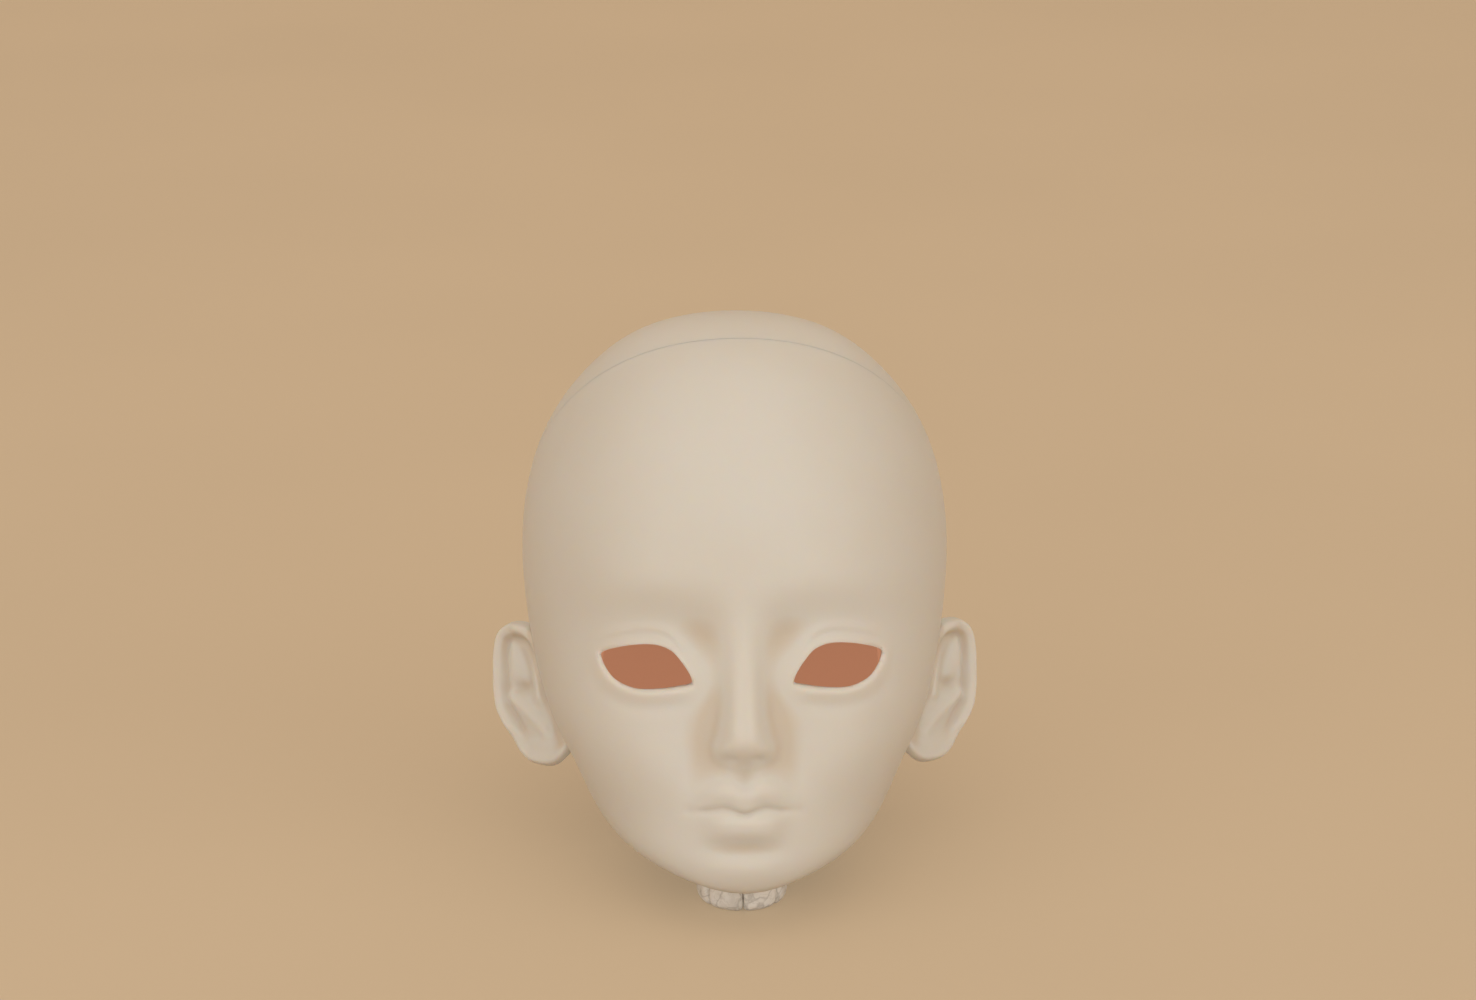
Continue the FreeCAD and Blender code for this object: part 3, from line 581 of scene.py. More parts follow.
@dataclass(frozen=True)
class EarForm:
    """An ear: a bowl with a fold, a rolled rim that runs into the lobe, and a root, in mm."""

    middle: tuple[float, float, float] = (32.1, 4.0, 28.7)
    heart: Span = (1.4, -0.4)
    root: Span = (-3.4, -0.8)
    flare: float = math.radians(50.0)
    rim_radius: float = 1.0
    rim_width: float = 1.15
    rim_rise: float = 0.6
    rim_power: float = 4.0
    crease_from_edge: float = 2.75
    crease_width: float = 0.8
    crease_depth: float = 0.4
    rim_fade_back: Span = (-7.0, -2.0)
    rim_fade_up: Span = (-8.0, -4.5)
    floor: float = -0.55
    floor_from_edge: Span = (0.0, 3.0)
    relief_from_edge: Span = (0.0, 0.6)
    back_swell: float = 2.6
    swell_from_edge: Span = (0.8, 6.5)
    root_depth: float = 6.0
    root_share: Span = (0.75, 1.0)
    row_crowding: float = 0.85
    line_steps: int = 40
    front_rows: int = 62
    back_rows: int = 24
    columns: int = 170

    def outline(self) -> Points:
        """The outline as a smooth closed curve.

        Returns:
            Rows of back and up, one to a column.
        """
        count = len(EAR_OUTLINE)
        steps = np.arange(-2.0, count + 3.0)
        ring = EAR_OUTLINE[np.arange(-2, count + 3) % count]
        at = count * np.arange(self.columns) / self.columns
        return np.stack([through(steps, ring[:, n], at) for n in range(2)], 1)

    def relief(self, back: Points, up: Points, edge: Points) -> Points:
        """The rise of the ear's front off its plane.

        Args:
            back: Places back from the ear's middle.
            up: Places up from it.
            edge: How far each place is from the outline.

        Returns:
            The rise: a floor, the rim's band, the crease inside it, and the ear's own lines.
        """
        fade = smooth_step(back, *self.rim_fade_back) * smooth_step(up, *self.rim_fade_up)
        total = self.floor * smooth_step(edge, *self.floor_from_edge)
        total += (self.rim_rise * fade
                  * bell(edge - self.rim_width, self.rim_width, self.rim_power))
        total -= self.crease_depth * fade * bell(edge - self.crease_from_edge, self.crease_width)
        for width, rise, points in EAR_LINES.values():
            line = np.array(points)
            at = np.linspace(0, len(line) - 1, self.line_steps)
            steps = np.arange(len(line), dtype=float)
            path = np.stack([through(steps, line[:, n], at) for n in range(2)], 1)
            total += rise * bell(distance_to(path[:-1], path[1:], back, up), width)
        return with_mounds(total, EAR_MOUNDS, back, up)

    def skin(self, side: int) -> Points:
        """The whole ear as a grid of points: front from the heart to the rim, then the back.

        Args:
            side: -1 for the left of the picture and 1 for the right.

        Returns:
            The grid, with rows from the heart over the rim to the root and columns round.
        """
        ring = self.outline()
        next_ring = np.roll(ring, -1, 0)
        heart, root = np.array(self.heart), np.array(self.root)
        share = np.linspace(0, 1, self.front_rows)[:, None, None] ** self.row_crowding
        front = heart + share * (ring - heart)
        back, up = np.moveaxis(front, -1, 0)
        edge = distance_to(ring, next_ring, back, up)
        drop = self.rim_radius - quarter_round(edge, self.rim_radius)
        front_off = (self.relief(back, up, edge) * smooth_step(edge, *self.relief_from_edge)
                     - drop)
        share = np.linspace(1, 0, self.back_rows + 1)[1:, None, None]
        rear = root + share * (ring - root)
        far = distance_to(ring, next_ring, *np.moveaxis(rear, -1, 0))
        rear_off = (-self.rim_radius - quarter_round(far, self.rim_radius)
                    - self.back_swell * smooth_step(far, *self.swell_from_edge))
        rear_off -= self.root_depth * smooth_step(1 - share[..., 0], *self.root_share)
        off = np.concatenate([front_off, rear_off])
        back, up = np.moveaxis(np.concatenate([front, rear]), -1, 0)
        x = self.middle[0] + back * math.sin(self.flare) + off * math.cos(self.flare)
        y = self.middle[1] + back * math.cos(self.flare) - off * math.sin(self.flare)
        return np.stack([side * x, y, self.middle[2] + up], -1)


@dataclass(frozen=True)
class HeadPlace:
    """How the head frame lies in the part frame."""

    lean: float
    origin: Points

    def turned(self, points: Points) -> Points:
        """Directions or millimetre points of the head frame, leaned back about X.

        Args:
            points: An array with x, y and z last.

        Returns:
            The leaned ones, in the same shape.
        """
        x, y, z = np.moveaxis(np.asarray(points, dtype=float), -1, 0)
        c, s = math.cos(self.lean), math.sin(self.lean)
        return np.stack([x, y * c + z * s, z * c - y * s], -1)

    def moved(self, points: Points) -> Points:
        """Millimetre points of the head frame as millimetre points of the part frame."""
        return self.turned(points) + self.origin

    def put(self, points: Points) -> Points:
        """Millimetre points of the head frame as metre points of the part frame."""
        return self.moved(points) * MM


def head_place(head: HeadForm, lean: float = math.radians(17.0)) -> HeadPlace:
    """The leaned head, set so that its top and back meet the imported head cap's.

    Args:
        head: The head's form.
        lean: How far the head leans back.

    Returns:
        The place of the head frame.
    """
    _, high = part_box("head_cap")
    skin = HeadPlace(lean, np.zeros(3)).turned(head.skin())
    return HeadPlace(lean, np.array([0.0, high.y / MM - skin[..., 1].max(),
                                     high.z / MM - skin[..., 2].max()]))


class Joining(Enum):
    """How one closed surface is worked into another."""

    ADD = "UNION"
    CUT = "DIFFERENCE"
    KEEP = "INTERSECT"


def in_scene(name: str, data: bpy.types.ID) -> bpy.types.Object:
    """A new object of the scene.

    Args:
        name: The object's name.
        data: Its mesh, lamp or camera.

    Returns:
        The object, at the origin.
    """
    item = bpy.data.objects.new(name, data)
    bpy.context.scene.collection.objects.link(item)
    return item


def make_mesh(name: str, vertices: Points, faces: Sequence[Points],
              material: bpy.types.Material) -> bpy.types.Object:
    """A new object at the origin from whole arrays.

    Args:
        name: The object's name.
        vertices: Points in metres, one to a row.
        faces: Arrays of corner numbers, one face to a row.
        material: The finish of the surface.

    Returns:
        The object, linked to the scene.
    """
    mesh = bpy.data.meshes.new(name)
    mesh.from_pydata(vertices.tolist(), [], [face for rows in faces for face in rows.tolist()])
    mesh.validate()
    mesh.materials.append(material)
    return in_scene(name, mesh)


def turn_outward(item: bpy.types.Object) -> None:
    """Flips a closed mesh whose signed volume is below zero.

    Args:
        item: The object of the mesh.
    """
    mesh = item.data
    mesh.calc_loop_triangles()
    corners = np.empty(len(mesh.loop_triangles) * 3, dtype=int)
    mesh.loop_triangles.foreach_get("vertices", corners)
    points = np.empty(len(mesh.vertices) * 3)
    mesh.vertices.foreach_get("co", points)
    a, b, c = np.moveaxis(points.reshape(-1, 3)[corners.reshape(-1, 3)], 1, 0)
    if (np.cross(a, b) * c).sum() < 0:
        mesh.flip_normals()


def closed_surface(name: str, grid: Points, material: bpy.types.Material) -> bpy.types.Object:
    """A closed surface from a grid whose columns go round and whose end rows shrink to poles.

    Args:
        name: The object's name.
        grid: Points in metres: rows, columns, and x, y, z.
        material: The finish of the surface.

    Returns:
        The object.
    """
    rows, columns = grid.shape[:2]
    inner = grid[1:-1].reshape(-1, 3)
    vertices = np.concatenate([grid[:1].mean(1), inner, grid[-1:].mean(1)])
    k = np.arange(columns)
    n = (k + 1) % columns
    first = 1 + columns * np.arange(rows - 3)[:, None]
    quads = np.stack([first + k, first + n, first + columns + n, first + columns + k], -1)
    last = 1 + columns * (rows - 3)
    top = np.stack([np.zeros_like(k), 1 + n, 1 + k], -1)
    bottom = np.stack([np.full_like(k, len(vertices) - 1), last + k, last + n], -1)
    item = make_mesh(name, vertices, [quads.reshape(-1, 4), top, bottom], material)
    turn_outward(item)
    return item


def ring_surface(name: str, grid: Points, material: bpy.types.Material) -> bpy.types.Object:
    """A closed surface from a grid that goes round both ways, as a tyre does.

    Args:
        name: The object's name.
        grid: Points in metres: rows, columns, and x, y, z.
        material: The finish of the surface.

    Returns:
        The object.
    """
    rows, columns = grid.shape[:2]
    row, column = np.meshgrid(np.arange(rows), np.arange(columns), indexing="ij")
    below, beside = (row + 1) % rows, (column + 1) % columns
    quads = np.stack([row * columns + column, row * columns + beside,
                      below * columns + beside, below * columns + column], -1)
    item = make_mesh(name, grid.reshape(-1, 3), [quads.reshape(-1, 4)], material)
    turn_outward(item)
    return item


def capped(grid: Points) -> Points:
    """A grid with a row more at each end, all of it in the middle of the end row.

    Args:
        grid: Rows, columns, and x, y, z.

    Returns:
        The longer grid, which closed_surface closes with flat ends.
    """
    ends = [np.repeat(row.mean(0)[None, None], grid.shape[1], 1) for row in (grid[0], grid[-1])]
    return np.concatenate([ends[0], grid, ends[1]])


def work_in(item: bpy.types.Object, tool: bpy.types.Object, how: Joining) -> None:
    """Works a closed surface into another for good, and removes it.

    Args:
        item: The object that is changed.
        tool: The closed surface that is worked in.
        how: Whether it is added, cut away, or kept where both are.
    """
    joining = item.modifiers.new("joining", "BOOLEAN")
    joining.operation = how.value
    joining.object = tool
    joining.solver = "MANIFOLD"
    joining.material_mode = "TRANSFER"
    graph = bpy.context.evaluated_depsgraph_get()
    worked = bpy.data.meshes.new_from_object(item.evaluated_get(graph))
    item.modifiers.clear()
    before = item.data
    item.data = worked
    worked.name = item.name
    bpy.data.meshes.remove(before)
    bpy.data.meshes.remove(tool.data)


def copy_of(item: bpy.types.Object, name: str) -> bpy.types.Object:
    """A second object with its own copy of the mesh."""
    return in_scene(name, item.data.copy())


def revolved(profile: Points, count: int, middle: Points, axis: Points) -> Points:
    """A profile turned round an axis.

    Args:
        profile: Rows of distance from the axis and height along it.
        count: How many columns go round.
        middle: The point of the axis at height 0.
        axis: The direction of the axis.

    Returns:
        The grid: middle + height * axis + distance * (cos a * u + sin a * v) for turns a, where
        u and v are square to the axis.
    """
    axis = np.asarray(axis, dtype=float) / np.linalg.norm(axis)
    u = np.cross(axis, [1.0, 0.0, 0.0])
    u = u / np.linalg.norm(u)
    v = np.cross(axis, u)
    a = turns(count)[None, :, None]
    distance, height = profile[:, 0][:, None, None], profile[:, 1][:, None, None]
    return np.asarray(middle) + height * axis + distance * (np.cos(a) * u + np.sin(a) * v)


def rod(radius: float, low: float, high: float) -> Points:
    """The profile of a plain rod, from the axis out and back to it."""
    return np.array([(0.0, low), (radius, low), (radius, high), (0.0, high)])


def ball(radius: float, count: int) -> Points:
    """The profile of a ball about height 0."""
    dip = np.linspace(0, np.pi, count)
    return np.stack([radius * np.sin(dip), radius * np.cos(dip)], 1)


class Mixing(Enum):
    """What a Mix node mixes: its data type, the numbers of its two inputs and of its output."""

    COLOUR = ("RGBA", 6, 7, 2)
    PLACE = ("VECTOR", 4, 5, 1)


class Nodes:
    """A material's or group's node tree with short calls for its nodes and links."""

    def __init__(self, tree: bpy.types.NodeTree) -> None:
        """Keeps the tree that nodes are added to."""
        self.tree = tree

    def add(self, kind: str, **settings: object) -> bpy.types.Node:
        """A new node.

        Args:
            kind: The node's type.
            **settings: The node's own settings, by name.

        Returns:
            The node.
        """
        node = self.tree.nodes.new(kind)
        for key, value in settings.items():
            setattr(node, key, value)
        return node

    def link(self, start: Socket, end: Socket) -> None:
        """A link from an output to an input."""
        self.tree.links.new(start, end)

    def feed(self, value: object, socket: Socket) -> None:
        """Sets an input to a number or colour, or links an output to it.

        Args:
            value: The number, the colour or the output.
            socket: The input.
        """
        if isinstance(value, Socket):
            self.link(value, socket)
        else:
            socket.default_value = value

    def give(self, node: bpy.types.Node, values: dict[str, object]) -> None:
        """Feeds a node's inputs by their names."""
        for name, value in values.items():
            self.feed(value, node.inputs[name])

    def math(self, operation: str, first: object, second: object, clamp: bool = False) -> Socket:
        """A value worked out from two.

        Args:
            operation: The name of the operation.
            first: A number or an output.
            second: A number or an output.
            clamp: Whether the result is kept within 0 to 1.

        Returns:
            The result's output.
        """
        node = self.add("ShaderNodeMath", operation=operation, use_clamp=clamp)
        self.feed(first, node.inputs[0])
        self.feed(second, node.inputs[1])
        return node.outputs[0]

    def between(self, value: Socket, low: float, high: float, to_low: float = 0.0,
                to_high: float = 1.0) -> Socket:
        """A value carried from one range to another, smoothly and within its ends.

        Args:
            value: The value's output.
            low: Where the first range starts.
            high: Where it ends.
            to_low: The result at low.
            to_high: The result at high.

        Returns:
            The result's output.
        """
        node = self.add("ShaderNodeMapRange", interpolation_type="SMOOTHSTEP")
        self.give(node, {"Value": value, "From Min": low, "From Max": high,
                         "To Min": to_low, "To Max": to_high})
        return node.outputs["Result"]

    def mix(self, share: object, first: object, second: object,
            what: Mixing = Mixing.COLOUR) -> Socket:
        """A colour or place between two.

        Args:
            share: How much of the second there is, a number or an output.
            first: A colour or an output.
            second: A colour or an output.
            what: Whether colours or places are mixed.

        Returns:
            The result's output.
        """
        data_type, *inputs, result = what.value
        node = self.add("ShaderNodeMix", data_type=data_type)
        self.feed(share, node.inputs["Factor"])
        for value, number in zip((first, second), inputs):
            self.feed(opaque(value) if isinstance(value, tuple) else value, node.inputs[number])
        return node.outputs[result]

    def noise(self, place: Socket, scale: object, detail: float, roughness: float = 0.5,
              fourth: object = None) -> bpy.types.Node:
        """Soft noise.

        Args:
            place: Where it is read.
            scale: Its scale, a number or an output.
            detail: How many finer layers it has.
            roughness: How strong those are.
            fourth: Its place in a fourth direction, given where like pieces must differ.

        Returns:
            The node, with outputs Fac and Color.
        """
        node = self.add("ShaderNodeTexNoise", noise_dimensions="3D" if fourth is None else "4D")
        self.give(node, {"Vector": place, "Scale": scale, "Detail": detail,
                         "Roughness": roughness})
        if fourth is not None:
            self.feed(fourth, node.inputs["W"])
        return node


def opaque(colour: Colour) -> tuple[float, ...]:
    """A colour with full cover."""
    return (*colour, 1.0)


def dimmed(colour: Colour, share: float) -> Colour:
    """A colour of which only a share is left."""
    return tuple(share * part for part in colour)


@dataclass(frozen=True)
class Spots:
    """Soft spots: noise that starts to count at low and counts in full, as share, at high."""

    scale: float
    detail: float
    low: float
    high: float
    share: float = 1.0
    roughness: float = 0.5

    def on(self, nodes: Nodes, place: Socket, fourth: object = None) -> Socket:
        """The spots as a mask.

        Args:
            nodes: The tree that they are added to.
            place: Where they are read.
            fourth: Their place in a fourth direction, if like pieces must differ.

        Returns:
            The mask's output.
        """
        noise = nodes.noise(place, self.scale, self.detail, self.roughness, fourth)
        return nodes.between(noise.outputs["Fac"], self.low, self.high, 0.0, self.share)


@dataclass(frozen=True)
class FineGrain:
    """The shader group of tiny pits and dust that every cast or ground surface has."""

    name: str = "fine_grain"
    scale: float = 900.0
    cover: float = 0.5
    pit_detail: float = 3.0
    pit_roughness: float = 0.6
    dust_scale_share: float = 0.06
    dust_detail: float = 4.0
    dust_roughness: float = 0.55
    dust_span: Span = (0.45, 0.75)

    def build(self) -> bpy.types.NodeTree:
        """The group, built at its first use.

        Returns:
            A group with inputs Place, Scale and Cover, and outputs Height and Dust.
        """
        found = bpy.data.node_groups.get(self.name)
        if found:
            return found
        group = bpy.data.node_groups.new(self.name, "ShaderNodeTree")
        group.interface.new_socket("Place", in_out="INPUT", socket_type="NodeSocketVector")
        for name, value in (("Scale", self.scale), ("Cover", self.cover)):
            socket = group.interface.new_socket(name, in_out="INPUT",
                                                socket_type="NodeSocketFloat")
            socket.default_value = value
        for name in ("Height", "Dust"):
            group.interface.new_socket(name, in_out="OUTPUT", socket_type="NodeSocketFloat")
        nodes = Nodes(group)
        inlet = nodes.add("NodeGroupInput").outputs
        outlet = nodes.add("NodeGroupOutput")
        pits = nodes.noise(inlet["Place"], inlet["Scale"], self.pit_detail, self.pit_roughness)
        dust_scale = nodes.math("MULTIPLY", inlet["Scale"], self.dust_scale_share)
        clouds = nodes.noise(inlet["Place"], dust_scale, self.dust_detail, self.dust_roughness)
        dust = nodes.between(clouds.outputs["Fac"], *self.dust_span)
        nodes.give(outlet, {"Height": pits.outputs["Fac"],
                            "Dust": nodes.math("MULTIPLY", dust, inlet["Cover"])})
        return group


@dataclass(frozen=True)
class Finish:
    """What every finish has: a colour, a roughness, a grain, and how far light enters, in mm."""

    name: str
    colour: Colour
    roughness: float
    wear_roughness: float = 0.0
    grain_scale: float = 900.0
    grain_depth: float = 0.02
    grain_strength: float = 1.0
    dust: float = 0.5
    through: float = 0.0
    through_depth: float = 0.0
    through_radius: Colour = (1.0, 0.2, 0.1)

    def build(self) -> bpy.types.Material:
        """The material: its shader, bumped by the grain group, and what dress adds.

        Returns:
            The material.
        """
        material = bpy.data.materials.new(self.name)
        material.use_nodes = True
        nodes = Nodes(material.node_tree)
        shader = material.node_tree.nodes["Principled BSDF"]
        place = nodes.add("ShaderNodeTexCoord").outputs["Object"]
        grain = nodes.add("ShaderNodeGroup", node_tree=FineGrain().build())
        nodes.give(grain, {"Place": place, "Scale": self.grain_scale, "Cover": self.dust})
        bump = nodes.add("ShaderNodeBump")
        nodes.give(bump, {"Height": grain.outputs["Height"], "Strength": self.grain_strength,
                          "Distance": self.grain_depth * MM})
        nodes.give(shader, {"Base Color": opaque(self.colour), "Roughness": self.roughness,
                            "Normal": bump.outputs["Normal"]})
        if self.through:
            nodes.give(shader, {"Subsurface Weight": self.through,
                                "Subsurface Radius": self.through_radius,
                                "Subsurface Scale": self.through_depth * MM})
        self.dress(nodes, shader, place, grain.outputs["Dust"])
        return material

    def dress(self, nodes: Nodes, shader: bpy.types.Node, place: Socket, dust: Socket) -> None:
        """Adds what the kind of finish has of its own.

        Args:
            nodes: The material's tree.
            shader: Its shader.
            place: Object coordinates.
            dust: The mask of the dust.
        """
        raise NotImplementedError

    def worn(self, nodes: Nodes, mask: Socket) -> Socket:
        """The roughness, with more where a mask is."""
        return nodes.math("ADD", self.roughness, nodes.math("MULTIPLY", mask, self.wear_roughness))


@dataclass(frozen=True)
class ResinFinish(Finish):
    """Cast resin, satin and a little translucent, with clouds of tone, painted warm shade in its
    hollows and, where set, a painted glow.
    """

    wear_roughness: float = 0.12
    through: float = 0.65
    through_depth: float = 2.0
    through_radius: Colour = (1.0, 0.70, 0.45)
    bending: float = 1.5
    clouds: Spots = Spots(38.0, 3.0, 0.35, 0.75, 0.35)
    cloud_colour: Colour = (0.65, 0.61, 0.53)
    # Painted shade: by this share of the hollow mask the colour goes toward this darker, warmer one
    painted_shade_share: float = 0.5
    painted_shade_colour: Colour = (0.60, 0.49, 0.36)
    # Painted glow: emission in the base colour, standing in for light that comes through the resin
    glow: float = 0.0

    def dress(self, nodes: Nodes, shader: bpy.types.Node, place: Socket, dust: Socket) -> None:
        """Adds clouds, painted warm shade in the hollows from the surface's own values, and dust.

        Args:
            nodes: The material's tree.
            shader: Its shader.
            place: Object coordinates.
            dust: The mask of the dust.
        """
        # Painted shade: the hollow attribute darkens and warms the colour in creases and recesses
        hollow = nodes.add("ShaderNodeAttribute", attribute_name="hollow").outputs["Fac"]
        colour = nodes.mix(self.clouds.on(nodes, place), self.colour, self.cloud_colour)
        colour = nodes.mix(nodes.math("MULTIPLY", hollow, self.painted_shade_share, clamp=True), colour,
                           self.painted_shade_colour)
        nodes.give(shader, {"Base Color": colour, "Roughness": self.worn(nodes, dust),
                            "IOR": self.bending})
        # Painted glow: the resin glows in its own colour, standing in for light through the walls
        if self.glow:
            nodes.give(shader, {"Emission Color": opaque(self.colour),
                                "Emission Strength": self.glow})


@dataclass(frozen=True)
class Veins:
    """Veins where folded noise crosses its middle: scale, half width in noise, and share."""

    scale: float
    width: float
    share: float


@dataclass(frozen=True)
class StoneFinish(Finish):
    """White marbled stone with grey veins over soft clouds, ground smooth."""

    wear_roughness: float = 0.2
    through: float = 0.2
    through_depth: float = 0.8
    through_radius: Colour = (0.6, 0.5, 0.4)
    clouds: Spots = Spots(260.0, 4.0, 0.40, 0.68, roughness=0.6)
    cloud_colour: Colour = (0.72, 0.70, 0.66)
    veins: tuple[Veins, ...] = (Veins(300.0, 0.045, 0.38), Veins(700.0, 0.035, 0.20))
    vein_detail: float = 2.0
    vein_middle: float = 0.5
    vein_colour: Colour = (0.30, 0.28, 0.25)
    bend_scale: float = 420.0
    bend_detail: float = 2.0
    bend_share: float = 0.0016

    def dress(self, nodes: Nodes, shader: bpy.types.Node, place: Socket, dust: Socket) -> None:
        """Adds clouds, veins at places that noise has bent, and dust, other on each stone.

        Args:
            nodes: The material's tree.
            shader: Its shader.
            place: Object coordinates.
            dust: The mask of the dust.
        """
        stone = nodes.add("ShaderNodeAttribute", attribute_name="stone").outputs["Fac"]
        bend = nodes.noise(place, self.bend_scale, self.bend_detail, fourth=stone)
        bent = nodes.mix(self.bend_share, place, bend.outputs["Color"], Mixing.PLACE)
        colour = nodes.mix(self.clouds.on(nodes, place, stone), self.colour, self.cloud_colour)
        for vein in self.veins:
            noise = nodes.noise(bent, vein.scale, self.vein_detail, fourth=stone)
            off = nodes.math("SUBTRACT", noise.outputs["Fac"], self.vein_middle)
            mask = nodes.between(nodes.math("ABSOLUTE", off, 0.0), 0.0, vein.width, vein.share,
                                 0.0)
            colour = nodes.mix(mask, colour, self.vein_colour)
        nodes.give(shader, {"Base Color": colour, "Roughness": self.worn(nodes, dust)})


@dataclass(frozen=True)
class MetalFinish(Finish):
    """Bright nickel plate with handling scuffs."""

    wear_roughness: float = 0.10
    scuffs: Spots = Spots(1400.0, 4.0, 0.45, 0.70, roughness=0.7)
    scuff_dimming: float = 0.9

    def dress(self, nodes: Nodes, shader: bpy.types.Node, place: Socket, dust: Socket) -> None:
        """Makes it metal, duller and rougher where it is scuffed.

        Args:
            nodes: The material's tree.
            shader: Its shader.
            place: Object coordinates.
            dust: The mask of the dust; not used, as metal doesn't show it.
        """
        scuffs = self.scuffs.on(nodes, place)
        colour = nodes.mix(scuffs, self.colour, dimmed(self.colour, self.scuff_dimming))
        nodes.give(shader, {"Base Color": colour, "Roughness": self.worn(nodes, scuffs),
                            "Metallic": 1.0})


@dataclass(frozen=True)
class ElasticFinish(Finish):
    """White elastic cord, clouded and a little glossy."""

    through: float = 0.3
    through_depth: float = 0.5
    bands: Spots = Spots(1800.0, 2.0, 0.40, 0.62)
    band_dimming: float = 0.75

    def dress(self, nodes: Nodes, shader: bpy.types.Node, place: Socket, dust: Socket) -> None:
        """Adds the cloudy bands of stretched elastic.

        Args:
            nodes: The material's tree.
            shader: Its shader.
            place: Object coordinates.
            dust: The mask of the dust; not used, as the cord doesn't show it.
        """
        nodes.give(shader, {"Base Color": nodes.mix(self.bands.on(nodes, place), self.colour,
                                                    dimmed(self.colour, self.band_dimming))})


@dataclass(frozen=True)
class StageFinish(Finish):
    """The plain paper sweep that the head stands on.

    To the camera, and in a gloss or through glass, a share of it is its own plain colour, so that
    it stays even, and the rest is lit and keeps the shadow.
    """

    mottle: Spots = Spots(6.0, 2.0, 0.3, 0.7, 0.5)
    mottle_dimming: float = 0.93
    plain_colour: Colour = (0.775, 0.590, 0.381)
    plain_dimming: float = 0.97
    plain_share: float = 0.35

    def dress(self, nodes: Nodes, shader: bpy.types.Node, place: Socket, dust: Socket) -> None:
        """Adds a faint mottle and the share of plain colour.

        Args:
            nodes: The material's tree.
            shader: Its shader.
            place: Object coordinates.
            dust: The mask of the dust; not used, as the paper doesn't show it.
        """
        mottle = self.mottle.on(nodes, place)
        nodes.give(shader, {"Base Color": nodes.mix(mottle, self.colour, dimmed(
            self.colour, self.mottle_dimming))})
        plain = nodes.add("ShaderNodeEmission")
        nodes.give(plain, {"Color": nodes.mix(mottle, self.plain_colour, dimmed(
            self.plain_colour, self.plain_dimming))})
        rays = nodes.add("ShaderNodeLightPath").outputs
        seen = nodes.math("MAXIMUM", rays["Is Camera Ray"], nodes.math(
            "MAXIMUM", rays["Is Glossy Ray"], rays["Is Transmission Ray"]))
        blend = nodes.add("ShaderNodeMixShader")
        parts = (nodes.math("MULTIPLY", seen, self.plain_share), shader.outputs[0],
                 plain.outputs[0])
        for part, socket in zip(parts, blend.inputs):
            nodes.link(part, socket)
        nodes.link(blend.outputs[0], nodes.tree.nodes["Material Output"].inputs["Surface"])


RESIN = ResinFinish("cast_resin", (0.690, 0.680, 0.640), 0.46)
# Painted shade and painted glow: the face shell's inside, eye wells and neck holes are darker and
# warmer and glow, standing in for the shade within and the light that comes through the resin
INNER_RESIN_PAINTED_SHADE_GLOW = ResinFinish("inner_resin_painted_shade_glow", (0.47, 0.250, 0.150), 0.62, grain_depth=0.05,
                          painted_shade_colour=(0.44, 0.230, 0.135), cloud_colour=(0.46, 0.245, 0.145),
                          through=0.0, glow=0.55)
# Painted shade: the cap's inside is darker and warmer, standing in for the shade within and the light
# that comes through the resin
INNER_CAP_RESIN_PAINTED_SHADE = ResinFinish("inner_cap_resin_painted_shade", (0.60, 0.46, 0.34), 0.60, grain_depth=0.05,
                              painted_shade_colour=(0.56, 0.38, 0.26), cloud_colour=(0.57, 0.42, 0.30),
                              through=0.3)
STONE = StoneFinish("marbled_stone", (0.88, 0.87, 0.84), 0.38, grain_scale=2500.0)
NICKEL = MetalFinish("nickel", (0.68, 0.66, 0.62), 0.26, grain_scale=4000.0, grain_depth=0.001)
ELASTIC = ElasticFinish("elastic", (0.66, 0.62, 0.55), 0.45, grain_scale=5000.0)
PAPER = StageFinish("paper", (0.56, 0.43, 0.29), 0.9, grain_scale=300.0)


def write_values(mesh: bpy.types.Mesh, name: str, values: Points) -> None:
    """Keeps one value to a vertex as an attribute that materials read by its name."""
    layer = mesh.attributes.new(name, "FLOAT", "POINT")
    layer.data.foreach_set("value", values.astype(np.float32))


def hollows(item: bpy.types.Object, passes: int = 160, deep: float = 0.45 * MM) -> None:
    """Writes how hollow the surface is at each vertex as the attribute hollow, the mask of the
    resin's painted shade.

    The vertices are moved to the mean of their neighbours a number of times. Where the softened
    surface stands outside the real one, the place is hollow: hollow = (softened - real) . normal.

    Args:
        item: The finished mesh object.
        passes: How many times the surface is softened.
        deep: The depth that counts as wholly hollow.
    """
    mesh = item.data
    count = len(mesh.vertices)
    points = np.empty(count * 3)
    mesh.vertices.foreach_get("co", points)
    points = points.reshape(-1, 3)
    normals = np.empty(count * 3)
    mesh.vertices.foreach_get("normal", normals)
    edges = np.empty(len(mesh.edges) * 2, dtype=int)
    mesh.edges.foreach_get("vertices", edges)
    start, end = edges.reshape(-1, 2).T
    weight = np.bincount(start, minlength=count) + np.bincount(end, minlength=count)
    soft = points.copy()
    for _ in range(passes):
        total = np.stack([np.bincount(start, soft[end, n], count)
                          + np.bincount(end, soft[start, n], count) for n in range(3)], 1)
        soft = total / np.maximum(weight, 1)[:, None]
    depth = ((soft - points) * normals.reshape(-1, 3)).sum(1)
    write_values(mesh, "hollow", np.clip(depth / deep, 0.0, 1.0))


def smooth(item: bpy.types.Object, crease: float = math.radians(38.0)) -> None:
    """Shades a mesh smooth, with sharp edges where its faces meet at more than the crease."""
    item.data.shade_smooth()
    item.data.set_sharp_from_angle(angle=crease)


